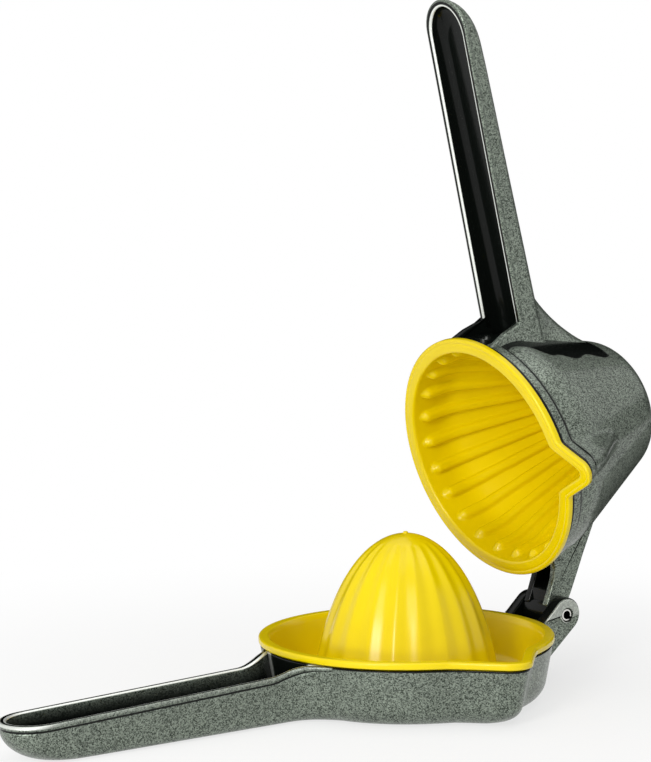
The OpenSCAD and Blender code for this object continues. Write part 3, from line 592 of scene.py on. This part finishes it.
# Injection-moulded ABS in solid lemon yellow: a smooth gloss, with a faint orange-peel ripple
# from the mould and slow changes of tone where the melt has run.
PEEL_MM, MELT_MM = 1.4, 26
YELLOW_DEEP, YELLOW_LIGHT, ABS_IOR = "#E3C900", "#EBD202", 1.49
yellow, tree = new_material("gloss_yellow_moulded_plastic")
coords = node(tree, "TexCoord")
melt = node(tree, "TexNoise", inputs={"Scale": 1000 / MELT_MM, "Detail": 3.0, "Roughness": 0.55},
            links={"Vector": coords.outputs["Object"]})
tint = node(tree, "ValToRGB", links={"Fac": melt.outputs["Fac"]})
tint.color_ramp.elements[0].position, tint.color_ramp.elements[1].position = 0.3, 0.7
tint.color_ramp.elements[0].color = linear(YELLOW_DEEP)
tint.color_ramp.elements[1].color = linear(YELLOW_LIGHT)
peel = node(tree, "TexNoise", inputs={"Scale": 1000 / PEEL_MM, "Detail": 2.0},
            links={"Vector": coords.outputs["Object"]})
grain = node(tree, "Bump", inputs={"Strength": 0.12, "Distance": 0.00004},
             links={"Height": peel.outputs["Fac"]})
shader = node(tree, "BsdfPrincipled",
              inputs={"Roughness": 0.24, "IOR": ABS_IOR, "Specular IOR Level": 0.3},
              links={"Base Color": tint.outputs["Color"], "Normal": grain.outputs["Normal"]})
node(tree, "OutputMaterial", links={"Surface": shader.outputs["BSDF"]})
dish.data.materials.append(yellow)

# ------------------------------------------------------------------ hinge pin
# A slotted spring pin, rolled from a strip of steel and pressed through both lugs. Its ends show
# beside the lugs, with the slot turned down towards the table.

PIN_WALL, PIN_HALF, PIN_EDGE = 0.8, LUG_OUT + 0.1, 0.2
SLOT_AT, SLOT_OUT, SLOT_IN = -35, 5, 8.5    # half of the slot in degrees, outside and inside
ring_in_r = PIN_R - PIN_WALL
section = np.vstack([arc(HINGE_X, HINGE_Z, PIN_R, SLOT_AT + SLOT_OUT, SLOT_AT + 360 - SLOT_OUT, 90),
                     arc(HINGE_X, HINGE_Z, ring_in_r, SLOT_AT + 360 - SLOT_IN, SLOT_AT + SLOT_IN,
                         90)])
pin = plate("spring_pin", section, -PIN_HALF, PIN_HALF, PIN_EDGE)
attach(pin, "lower")
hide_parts("hinge_pin")

# Rolled spring steel, bright from the mill: pale, with faint lines along the pin.
ROLL_LINE_MM, STEEL = 0.3, "#D9D8D2"
steel, tree = new_material("bright_rolled_steel")
coords = node(tree, "TexCoord")
stretch = node(tree, "Mapping", inputs={"Scale": (1, 0.05, 1)},
               links={"Vector": coords.outputs["Object"]})
lines = node(tree, "TexNoise", inputs={"Scale": 1000 / ROLL_LINE_MM, "Detail": 2.0},
             links={"Vector": stretch.outputs["Vector"]})
grain = node(tree, "Bump", inputs={"Strength": 0.2, "Distance": 0.00003},
             links={"Height": lines.outputs["Fac"]})
shader = node(tree, "BsdfPrincipled",
              inputs={"Base Color": linear(STEEL), "Metallic": 1.0, "Roughness": 0.25},
              links={"Normal": grain.outputs["Normal"]})
node(tree, "OutputMaterial", links={"Surface": shader.outputs["BSDF"]})
pin.data.materials.append(steel)

# ------------------------------------------------------------------ upper casting
# The upper lever, cast and sprayed like the lower one: a cup, a channelled handle with a fin
# that climbs the cup's back, and a hollow arm to the pin. It is worked out shut, and then
# turned open about the pin.

OPEN = math.radians(75.2)
MOUTH_Z = 9.5
CUP_R, CUP_H, CUP_LIP, BEAD_D, BEAD_H = 40.5, 59.0, 1.2, 0.7, 4.0
CUP_DRAFT, CUP_TAPER = math.radians(2), math.radians(22)
CUP_BAND_H, CUP_END_ROUND, SHOULDER_R = 14.3, 11.0, 24.0
CASTING_WALL, INSERT_OUT, INSERT_IN = 1.5, 1.7, 2.8
CUP_SPOUT, CUP_SPOUT_TIP, CUP_SPOUT_FLARE, CUP_SPOUT_H = 11.7, 4.4, math.radians(27), 30.0
CUP_SPOUT_BLEND = 1.2
WALL_R = CUP_R - CUP_LIP - BEAD_D
band_r = WALL_R - CUP_BAND_H * math.tan(CUP_DRAFT)
shoulder_l = SHOULDER_R * math.tan((CUP_TAPER - CUP_DRAFT) / 2)
shoulder_c = (band_r + shoulder_l * math.sin(CUP_DRAFT) - SHOULDER_R * math.cos(CUP_DRAFT),
              CUP_BAND_H - shoulder_l * math.cos(CUP_DRAFT) - SHOULDER_R * math.sin(CUP_DRAFT))
end_c = (band_r - (CUP_H - CUP_END_ROUND - CUP_BAND_H) * math.tan(CUP_TAPER)
         - CUP_END_ROUND / math.cos(CUP_TAPER), CUP_H - CUP_END_ROUND)


def opened(p):
    """Turns points from the shut lever to the open one, about the pin's axis."""
    x, z = p[..., 0] - HINGE_X, p[..., 2] - HINGE_Z
    c, s = math.cos(OPEN), math.sin(OPEN)
    return np.stack([HINGE_X + x * c + z * s, p[..., 1], HINGE_Z - x * s + z * c], -1)


def section_arc(centre, radius, a0, a1, n):
    """n points on an arc of the cup's section, from the angle a0 to a1 in radians."""
    a = np.linspace(a0, a1, n)
    return np.stack([centre[0] + radius * np.cos(a), centre[1] + radius * np.sin(a)], 1)


def cup_wall(o, low, fine=1.2):
    """The cup's section from its closed end to the height low, as (radius, height above the
    mouth), o inside the outer wall: an end arc, a taper, a shoulder arc and a drafted band."""
    rows = np.vstack([section_arc(end_c, CUP_END_ROUND - o, math.pi / 2, CUP_TAPER, 12),
                      section_arc(shoulder_c, SHOULDER_R - o, CUP_TAPER, CUP_DRAFT, 10),
                      [[WALL_R - low * math.tan(CUP_DRAFT) - o / math.cos(CUP_DRAFT), low]]])
    along = np.concatenate([[0], np.cumsum(np.linalg.norm(np.diff(rows, axis=0), axis=1))])
    at = np.linspace(0, along[-1], int(along[-1] / fine))
    return np.stack([np.interp(at, along, rows[:, k]) for k in (0, 1)], 1)


def cup_ring(h, r, o, dent=0.0):
    """A ring of the cup at height h: the circle r with a spout that fades up the wall."""
    c = r + o + CUP_SPOUT * (1 - h / CUP_SPOUT_H) - CUP_SPOUT_TIP
    q = mouth_radius(phi, r, c, CUP_SPOUT_TIP - o, CUP_SPOUT_FLARE, CUP_SPOUT_BLEND)
    return polar_ring(q - dent, MOUTH_Z + h)


low = FLANGE_T + 0.5
CUP_EDGE = 0.5
outer = cup_wall(0, low + BEAD_H + 0.55)
rings = [cup_ring(h, r, 0) for r, h in outer]
# the bead round the mouth, with a crease behind it: heights and radii from its upper edge
CREASE = ((0.4, -0.85), (0.25, -0.9), (0.1, -0.85), (-0.05, -0.3), (-0.2, -0.08), (-0.5, 0),
          (-2.7, 0), (-3.1, 0))
bead_edge = WALL_R + BEAD_D
rings += [cup_ring(low + BEAD_H + h, bead_edge + r, 0) for h, r in CREASE]
rings += [cup_ring(low + lift, bead_edge - inset, 0) for inset, lift in rounding(CUP_EDGE, 6)]
rings += [cup_ring(h, r, CASTING_WALL) for r, h in cup_wall(CASTING_WALL, low, 4.0)[::-1]]
rings = np.array(rings)
# painted shade on the cup's wall beside the fin, for its dark reflection: its edge, in degrees
# from the fin, steps out at the height BAND_STEP_H and wavers along the wall
BAND, BAND_STEP, BAND_STEP_H, BAND_STEP_RUN = 25, 11, 15, 8
BAND_WAVE, BAND_WAVES, BAND_FADE, BAND_LOW, BAND_HIGH = 2, 0.45, 3, 3, 50
BEAD_BAND, BEAD_FADE = 15, 2
high = outer[:, 1][:, None]
from_fin = np.degrees(math.pi - np.abs(phi))
band = BAND + BAND_STEP * smooth((high - BAND_STEP_H) / BAND_STEP_RUN)
band = band + BAND_WAVE * np.sin(high * BAND_WAVES)
crease_row = len(outer) - 1
painted_light = np.zeros(rings.shape[:2])
painted_light[:len(outer)] = (smooth((band - from_fin) / BAND_FADE)
                       * smooth((BAND_HIGH - high) / BAND_FADE)
                       * smooth((high - BAND_LOW) / BAND_FADE))
# painted shade in the crease behind the bead
painted_light[crease_row:crease_row + 5] = PAINTED_SHADE
# painted shade on the bead near the fin
painted_light[crease_row + 5:] = smooth((BEAD_BAND - from_fin) / BEAD_FADE)
painted_light[crease_row + 8:] = PAINTED_SHADE    # the edge in the flange's shadow
cup = solid("cup_shell", opened(rings), opened(np.array([0, 0, MOUTH_Z + CUP_H])),
            opened(np.array([0, 0, MOUTH_Z + CUP_H - CASTING_WALL])), painted_light)

# the handle, a channel that opens towards the lower lever
BACK_Z = RIM_Z + 16.8
UP_W, UP_NECK = 10.5, 1.2
UP_TIP_RUN, UP_TIP_RISE = 14.0, 6.6
UP_RIM_ROOT, UP_RIM_END = RIM_Z + 6.6, RIM_Z + 9.8
UP_ROOT_X, UP_STOP = -WALL_R - 2.5, 0.8
UP_RECESS, UP_BEAD_R, UP_HOLDER_X, UP_HOLDER_RUN = 0.2, 0.7, -44, 5
END_N = 24
UP_N = 2 * len(SIDE_T) + END_N
section = cup_wall(0, 0)[::-1]


def up_ring(z, in_w, in_e, neck=UP_NECK):
    """One ring of the upper handle: two sides that run into the cup at its radius there, and an
    arc inside the cup's wall that joins them."""
    n = len(SIDE_T)
    args = [np.broadcast_to(v, UP_N) for v in (z, in_w, in_e, neck)]
    halves = []
    for z_, w, e, k in ([v[:n] for v in args], [v[-n:][::-1] for v in args]):
        r = np.interp(z_ - MOUTH_Z, section[:, 1], section[:, 0])
        halves.append(half_plan(r, UP_W - w, UP_W - w, HANDLE_END - e, k, r - UP_STOP))
    a0 = math.atan2(halves[0][1][-1], halves[0][0][-1])
    turn = between(a0, 2 * math.pi - a0, np.linspace(0, 1, END_N + 2)[1:-1])
    q = math.hypot(halves[0][0][-1], halves[0][1][-1])
    x = np.concatenate([halves[0][0], q * np.cos(turn), halves[1][0][::-1]])
    y = np.concatenate([halves[0][1], q * np.sin(turn), -halves[1][1][::-1]])
    return np.stack([x, y, args[0]], 1)


plan_x = up_ring(UP_RIM_ROOT, 0, 0)[:, 0]
rim = between(UP_RIM_ROOT, UP_RIM_END, (UP_ROOT_X - plan_x) / (HANDLE_END + UP_ROOT_X))
edge = between(HANDLE_EDGE, UP_TIP_RISE, tip_swell(plan_x))
holder = smooth((plan_x - UP_HOLDER_X) / UP_HOLDER_RUN)
recess = UP_RECESS * (1 - holder)
bead_r = np.full(UP_N, UP_BEAD_R)
rim_w = np.full(UP_N, RIM_W)
profile = rim_profile()


def up_inset(z):
    """The sides' lean, and the rounding under the tip, at the height z."""
    depth = BACK_Z - z
    return (math.tan(HANDLE_DRAFT) * (BACK_Z - UP_RIM_ROOT - depth),
            tip_inset(depth, UP_TIP_RUN, UP_TIP_RISE))


rings = []
for a in np.linspace(math.pi / 2, HANDLE_DRAFT, EDGE_N):
    tip = tip_inset(UP_TIP_RISE * (1 - math.sin(a)), UP_TIP_RUN, UP_TIP_RISE)
    rings.append(up_ring(BACK_Z - edge * (1 - math.sin(a)),
                         edge_inset(a, HANDLE_DRAFT, BACK_Z - UP_RIM_ROOT, HANDLE_EDGE) + recess,
                         tip + recess))
rings.insert(0, drawn_in(rings[0], -WALL_R))
edge_z = BACK_Z - edge * (1 - math.sin(HANDLE_DRAFT))
for t in np.linspace(0, 1, WALL_N)[1:-1]:
    z = between(edge_z, rim + profile[0][0], t)
    rings.append(up_ring(z, *(v + recess for v in up_inset(z))))
first_row = len(rings)
for depth, inset in profile:
    rings.append(up_ring(rim + depth, *(v + inset for v in up_inset(rim + depth))))
floor_z = BACK_Z - WEB
for t in np.linspace(0, 1, CHANNEL_N)[1:] ** 2:
    z = between(rim + INNER_R, floor_z - CHANNEL_EDGE, t)
    rings.append(up_ring(z, *(v + rim_w for v in up_inset(z)), UP_NECK + RIM_W))
for aside, lift in rounding(CHANNEL_EDGE, FILLET_N)[1:]:
    z = np.full(UP_N, floor_z - lift)
    more = rim_w + aside
    rings.append(up_ring(z, *(v + more for v in up_inset(z)), UP_NECK + more))
rings.append(drawn_in(rings[-1], -WALL_R))
# painted shade down the channel's wall and floor and on the rim's flat top, and a painted highlight
# along the rim's inner edge
handle = solid("upper_channel", opened(np.array(rings)), opened(np.array([-WALL_R, 0, BACK_Z])),
               opened(np.array([-WALL_R, 0, floor_z])),
               rim_painted_light(len(rings), first_row, SPRAYED, SPRAYED, PAINTED_SHADE))

# the channel's walls run on down the cup as two low webs that fade into its bead
WEB_SIDE = ((-42.5, 28.4), (-40.9, 27.4), (-40.4, 24), (-39.8, 20), (-38.7, 16.5), (-37.4, 12.6),
            (-35.2, 12.6), (-34, 20), (-33.6, 30), (-42.5, 30))
WEB_IN = 0.05


def leaning(p):
    """Leans a plate's faces outwards below the channel's rim, as the handle's sides lean."""
    out = np.sign(p[..., 1]) * math.tan(HANDLE_DRAFT) * (UP_RIM_ROOT - p[..., 2])
    return opened(np.stack([p[..., 0], p[..., 1] + out, p[..., 2]], -1))


# the far web is painted black all over: painted shade
webs = [plate("web", rounded(WEB_SIDE, 0.6), y0, y1, CAST_EDGE, leaning, (tone, tone))
        for y0, y1, tone in ((-UP_W + WEB_IN, -UP_W + RIM_W, SPRAYED),
                             (UP_W - RIM_W, UP_W - WEB_IN, PAINTED_SHADE))]

# the fin: arched sections that grow wider and taller towards the cup's end, and end in its wall.
# The line where it meets the cup is a crease darkened by painted shade, and its underside
# is painted shade all over.
FIN_X0, FIN_X1, FIN_H, FIN_Z = -WALL_R - 23, -end_c[0] - CUP_END_ROUND, 22.0, RIM_Z + 15.4
FIN_W0, FIN_W1, FIN_HALF, FIN_PINCH, PINCH_X, PINCH_RUN = 3.4, 20.0, 7.0, 0.15, -35, 11
FIN_ARCH, FIN_CLIMB, FIN_LIFT, FIN_SINK, FIN_DEEP = 1.4, 1.75, 0.8, 1, 0.3
CREASE_A, CREASE_RUN = 0.08, 0.14
FIN_ROWS, FIN_N = 60, 61
t = np.linspace(0, 1, FIN_ROWS)[:, None]
a = np.linspace(0, math.pi, FIN_N)
x = np.broadcast_to(between(FIN_X0, FIN_X1, t), (FIN_ROWS, FIN_N))
most = FIN_HALF * (1 - FIN_PINCH * smooth((x - PINCH_X) / PINCH_RUN))
y = np.minimum(between(FIN_W0, FIN_W1, t), most) * np.cos(a)
cup_z = MOUTH_Z + np.interp(np.hypot(x, y), section[::-1, 0], section[::-1, 1])
base = np.maximum(floor_z + FIN_LIFT, cup_z - FIN_SINK)
top = np.maximum(FIN_Z + FIN_H * t ** FIN_CLIMB, base)
over = np.stack([x, y, base + (top - base) * np.sin(a) ** FIN_ARCH], 2)
under = np.stack([x, y, base - FIN_DEEP], 2)[:, -2:0:-1]
painted_crease_shade = 1 - smooth((np.minimum(a, math.pi - a) - CREASE_A) / CREASE_RUN)
tones = np.concatenate([painted_crease_shade, np.ones(FIN_N - 2)])
fin = solid("fin", opened(np.concatenate([over, under], 1)),
            painted_light=np.broadcast_to(tones, (FIN_ROWS, len(tones))))

# the hollow arm: two cheeks, a back between them, and a barrel round the pin. Its outlines are
# measured from the pin's axis, and end inside the cup's wall.
ARM_BACK = np.array([[-26, 24.2], [-15.4, 15.5], [-10.7, 11.9], [-4.7, 7.2], [-2.5, 5.3]])
ARM_FRONT = np.array([[-4, -4], [-8.1, -1], [-11.5, 1.3], [-14.6, 2.6]])
ARM_HOLLOW = [[-8.1, -1], [-8.3, 0], [-10.7, 8.5], [-15.4, 12.1], [-26, 20.8]]
IN_BARREL = [[-2.6, 2.6], [-3.6, 0], [-2.9, -3]]
ARM_WALL, ARM_BACK_T, ARM_SLOPE, ARM_SINK, ARM_ROUND = 2.6, 3.4, 0.85, 1, 0.6
BACK_HALF, BARREL_R = ARM_HALF - 1, EYE_R - 0.4
pin_at = np.array([HINGE_X, HINGE_Z])
inside = np.stack([np.sqrt((section[:, 0] - ARM_SINK) ** 2 - ARM_HALF ** 2),
                   MOUTH_Z + section[:, 1]], 1)
inside = inside[section[:, 1] < CUP_H - CUP_END_ROUND] - pin_at


def on_wall(low, high):
    """The part of the line inside the cup's wall that lies above low and below the arm's back
    edge, which is high lower than the outer one."""
    back_z = ARM_BACK[0, 1] - ARM_SLOPE * (inside[:, 0] - ARM_BACK[0, 0]) - high
    return inside[(inside[:, 1] > low) & (inside[:, 1] < back_z)]


cheek = rounded(np.vstack([ARM_BACK, IN_BARREL, ARM_FRONT, on_wall(ARM_FRONT[-1, 1], 0)]) + pin_at,
                ARM_ROUND)
wall_end = on_wall(0, 0)
wall_end = wall_end[len(on_wall(0, ARM_BACK_T)):]
middle = rounded(np.vstack([ARM_BACK, IN_BARREL, ARM_HOLLOW, wall_end]) + pin_at, ARM_ROUND)
# painted shade on the far cheek's inner face, on the arm's back and on the barrel
arm = [plate("cheek", cheek, side * ARM_HALF, side * (ARM_HALF - ARM_WALL), CAST_EDGE, opened,
             (SPRAYED, inner)) for side, inner in ((-1, SPRAYED), (1, PAINTED_SHADE))]
arm.append(plate("arm_back", middle, BACK_HALF, -BACK_HALF, 0.3, opened, (PAINTED_SHADE, PAINTED_SHADE)))
barrel = arc(HINGE_X, HINGE_Z, BARREL_R, 0, 357, 120)
arm.append(plate("barrel", barrel, ARM_HALF, -ARM_HALF, CAST_EDGE, opened, (0.6, PAINTED_SHADE), bore))
upper = joined("upper_casting_lacquered", [cup, handle, fin] + webs + arm)
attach(upper, "upper")
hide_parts("upper_casting")
upper.data.materials.append(lacquer)

# ------------------------------------------------------------------ ribbed cup
# The cup's lining, moulded in the same yellow plastic: a flat flange with a spout, and inside it
# blunt ribs that run down the wall and squeeze the fruit.

RIBS, RIB_H, RIB_W, RIB_START = 24, 2.2, 4.0, 4.2
RIB_WIDE_R, RIB_END, RIB_BLUNT, RIB_FADE = 34, 0.7, 3, 7
LINING_EDGE, LINING_LOW_EDGE = 0.8, 0.4
LINING_FACE = ((2.6, 0), (1.9, 0), (1.7, 0.08), (1.5, 0.16), (1.3, 0.08), (1.1, 0), (0.8, 0))


def ribs(r, h):
    """How far the ribs stand in at radius r and height h: bars whose section is a blunt arch,
    from the distance to each bar's middle line, with a longer slope at the end."""
    step = 2 * math.pi / RIBS
    across = ((phi + step / 2) % step - step / 2) * r
    width = RIB_W * (0.5 + 0.5 * r / RIB_WIDE_R)
    away = np.hypot(across, RIB_END * max(0.0, RIB_START + width / 2 - h)) * 2 / width
    fade = float(smooth((r - RIB_FADE) / RIB_FADE))
    return RIB_H * np.sqrt(np.clip(1 - away ** RIB_BLUNT, 0, None)) * fade


rings = [cup_ring(h, r, INSERT_IN, ribs(r, h)) for r, h in cup_wall(INSERT_IN, LINING_EDGE, 0.7)]
edge_r = WALL_R - INSERT_IN / math.cos(CUP_DRAFT)
rings += [cup_ring(h, edge_r + wider, INSERT_IN - wider)
          for wider, h in rounding(LINING_EDGE, 6, 0.2)]
# the flange's flat face has a fine groove near its edge, given as (inset, depth)
rings += [cup_ring(depth, CUP_R - inset, inset) for inset, depth in LINING_FACE]
rings += [cup_ring(h, CUP_R - inset, inset) for h, inset in rounding(LINING_EDGE, 7, 0.2)]
rings += [cup_ring(FLANGE_T - h, CUP_R - inset, inset)
          for h, inset in rounding(LINING_LOW_EDGE, 5, math.pi / 2, 0)]
rings += [cup_ring(h, r, INSERT_OUT) for r, h in cup_wall(INSERT_OUT, FLANGE_T, 5.0)[::-1]]
lining = solid("ribbed_lining", opened(np.array(rings)),
               opened(np.array([0, 0, MOUTH_Z + CUP_H - INSERT_IN])),
               opened(np.array([0, 0, MOUTH_Z + CUP_H - INSERT_OUT])))
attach(lining, "upper")
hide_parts("ribbed_cup")
lining.data.materials.append(yellow)

# ------------------------------------------------------------------ table, light and camera
# A wide pale table and a white room, four soft lamps of which the strongest stands at the front
# left, three sheets of black felt that keep the gloss dark at the back and the right, and the
# camera. Lengths are in metres.

TABLE_SIZE, TABLE_DROP = 60, 0.0003
SHADOW_NEAR, SHADOW_FAR, SHADOW_KEPT = 0.06, 0.28, 0.7


def seen_by_eye_or_gloss(tree):
    """The socket that is 1 for camera, glossy and transmission rays, and 0 for the others."""
    rays = node(tree, "LightPath")
    seen = rays.outputs["Is Camera Ray"]
    for kind in ("Is Glossy Ray", "Is Transmission Ray"):
        seen = node(tree, "Math", {"operation": "MAXIMUM"},
                    links={0: seen, 1: rays.outputs[kind]}).outputs[0]
    return seen


bpy.ops.mesh.primitive_plane_add(size=TABLE_SIZE)
table = bpy.context.object
table.name = "table"
table.data.transform(Matrix.Translation((0, 0, -TABLE_DROP)))
# White paper, which keeps the object's shadow and turns plain white further out.
paper, tree = new_material("white_paper")
coords = node(tree, "TexCoord")
away = node(tree, "VectorMath", {"operation": "LENGTH"}, links={0: coords.outputs["Object"]})
far = node(tree, "MapRange", {"interpolation_type": "SMOOTHSTEP"},
           {"From Min": SHADOW_NEAR, "From Max": SHADOW_FAR, "To Min": SHADOW_KEPT},
           {"Value": away.outputs["Value"]})
white = node(tree, "Math", {"operation": "MULTIPLY"},
             links={0: seen_by_eye_or_gloss(tree), 1: far.outputs["Result"]})
shader = node(tree, "BsdfPrincipled", inputs={"Base Color": linear("#F6F6F4"), "Roughness": 0.9})
glow = node(tree, "Emission", inputs={"Color": (1, 1, 1, 1), "Strength": 1.0})
both = node(tree, "MixShader", links={0: white.outputs[0], 1: shader.outputs["BSDF"],
                                      2: glow.outputs["Emission"]})
node(tree, "OutputMaterial", links={"Surface": both.outputs["Shader"]})
table.data.materials.append(paper)

ROOM_LIGHT, ROOM_SEEN = 0.4, 1.0
world = bpy.data.worlds.new("white_room")
bpy.context.scene.world = world
world.use_nodes = True
tree = world.node_tree
tree.nodes.clear()
level = node(tree, "MapRange", inputs={"To Min": ROOM_LIGHT, "To Max": ROOM_SEEN},
             links={"Value": seen_by_eye_or_gloss(tree)})
glow = node(tree, "Background", inputs={"Color": (1, 1, 1, 1)},
            links={"Strength": level.outputs[0]})
node(tree, "OutputWorld", links={"Surface": glow.outputs["Background"]})


def lamp(name, place, target, size, watts):
    """A soft rectangular lamp at place, turned to the target."""
    data = bpy.data.lights.new(name, "AREA")
    data.shape = "RECTANGLE"
    data.size, data.size_y = size
    data.energy = watts
    obj = bpy.data.objects.new(name, data)
    bpy.context.scene.collection.objects.link(obj)
    obj.location = place
    obj.rotation_euler = (Vector(target) - Vector(place)).to_track_quat("-Z", "Y").to_euler()


lamp("overhead", (0.1, -0.1, 1.1), (0, 0, 0.05), (0.9, 0.9), 3)
lamp("key", (-1.0, -0.6, 0.5), (0, 0, 0.1), (0.3, 0.3), 5.5)
lamp("upper_left", (-0.8, -0.7, 0.9), (0, 0, 0.08), (0.5, 0.5), 3)
lamp("low_left", (-0.95, -0.4, 0.07), (0.03, 0, 0.16), (0.5, 0.12), 2.2)

# Black felt, which sends back no light.
felt, tree = new_material("black_felt")
shader = node(tree, "BsdfDiffuse", inputs={"Color": linear("#050505")})
node(tree, "OutputMaterial", links={"Surface": shader.outputs["BSDF"]})


def black_card(name, place, target, size):
    """A sheet of black felt turned to the target, seen only in gloss: it keeps edges dark."""
    bpy.ops.mesh.primitive_plane_add(size=1)
    card = bpy.context.object
    card.name = name
    facing = (Vector(target) - Vector(place)).to_track_quat("Z", "Y").to_matrix()
    card.data.transform(Matrix.Translation(place) @ facing.to_4x4()
                        @ Matrix.Diagonal((*size, 1, 1)))
    card.visible_camera = card.visible_diffuse = card.visible_shadow = False
    card.visible_transmission = card.visible_volume_scatter = False
    card.data.materials.append(felt)


black_card("card_behind", (0.48, 0.66, 0.45), (0, 0, 0.45), (1.6, 0.86))
black_card("card_right", (0.85, 0.05, 0.1), (0, 0, 0.1), (0.5, 0.26))
black_card("card_low", (0.4, 0.24, 0.003), (0.4, 0.24, 1), (0.5, 0.5))

AZIMUTH, ELEVATION, ROLL = math.radians(-35.127), math.radians(6.109), math.radians(-0.572)
DISTANCE, SHIFT_RIGHT, SHIFT_UP = 0.8855, 0.0258, -0.0804
FOCAL_PX, FRAME_PX, SENSOR_MM = 2771.85, 762, 36.0
back = np.array([math.sin(AZIMUTH) * math.cos(ELEVATION), -math.cos(AZIMUTH) * math.cos(ELEVATION),
                 math.sin(ELEVATION)])
right = np.array([math.cos(AZIMUTH), math.sin(AZIMUTH), 0])
up = np.cross(back, right)
right, up = (math.cos(ROLL) * right + math.sin(ROLL) * up,
             math.cos(ROLL) * up - math.sin(ROLL) * right)
place = np.array([0, 0, RIM_Z * 0.001]) + DISTANCE * back - SHIFT_RIGHT * right - SHIFT_UP * up
camera = bpy.data.objects.new("camera", bpy.data.cameras.new("camera"))
bpy.context.scene.collection.objects.link(camera)
camera.matrix_world = Matrix([[right[k], up[k], back[k], place[k]] for k in range(3)]
                             + [[0, 0, 0, 1]])
camera.data.sensor_width = SENSOR_MM
camera.data.lens = FOCAL_PX / FRAME_PX * SENSOR_MM
bpy.context.scene.camera = camera
bpy.context.scene.view_settings.view_transform = "Standard"

bpy.context.view_layer.update()
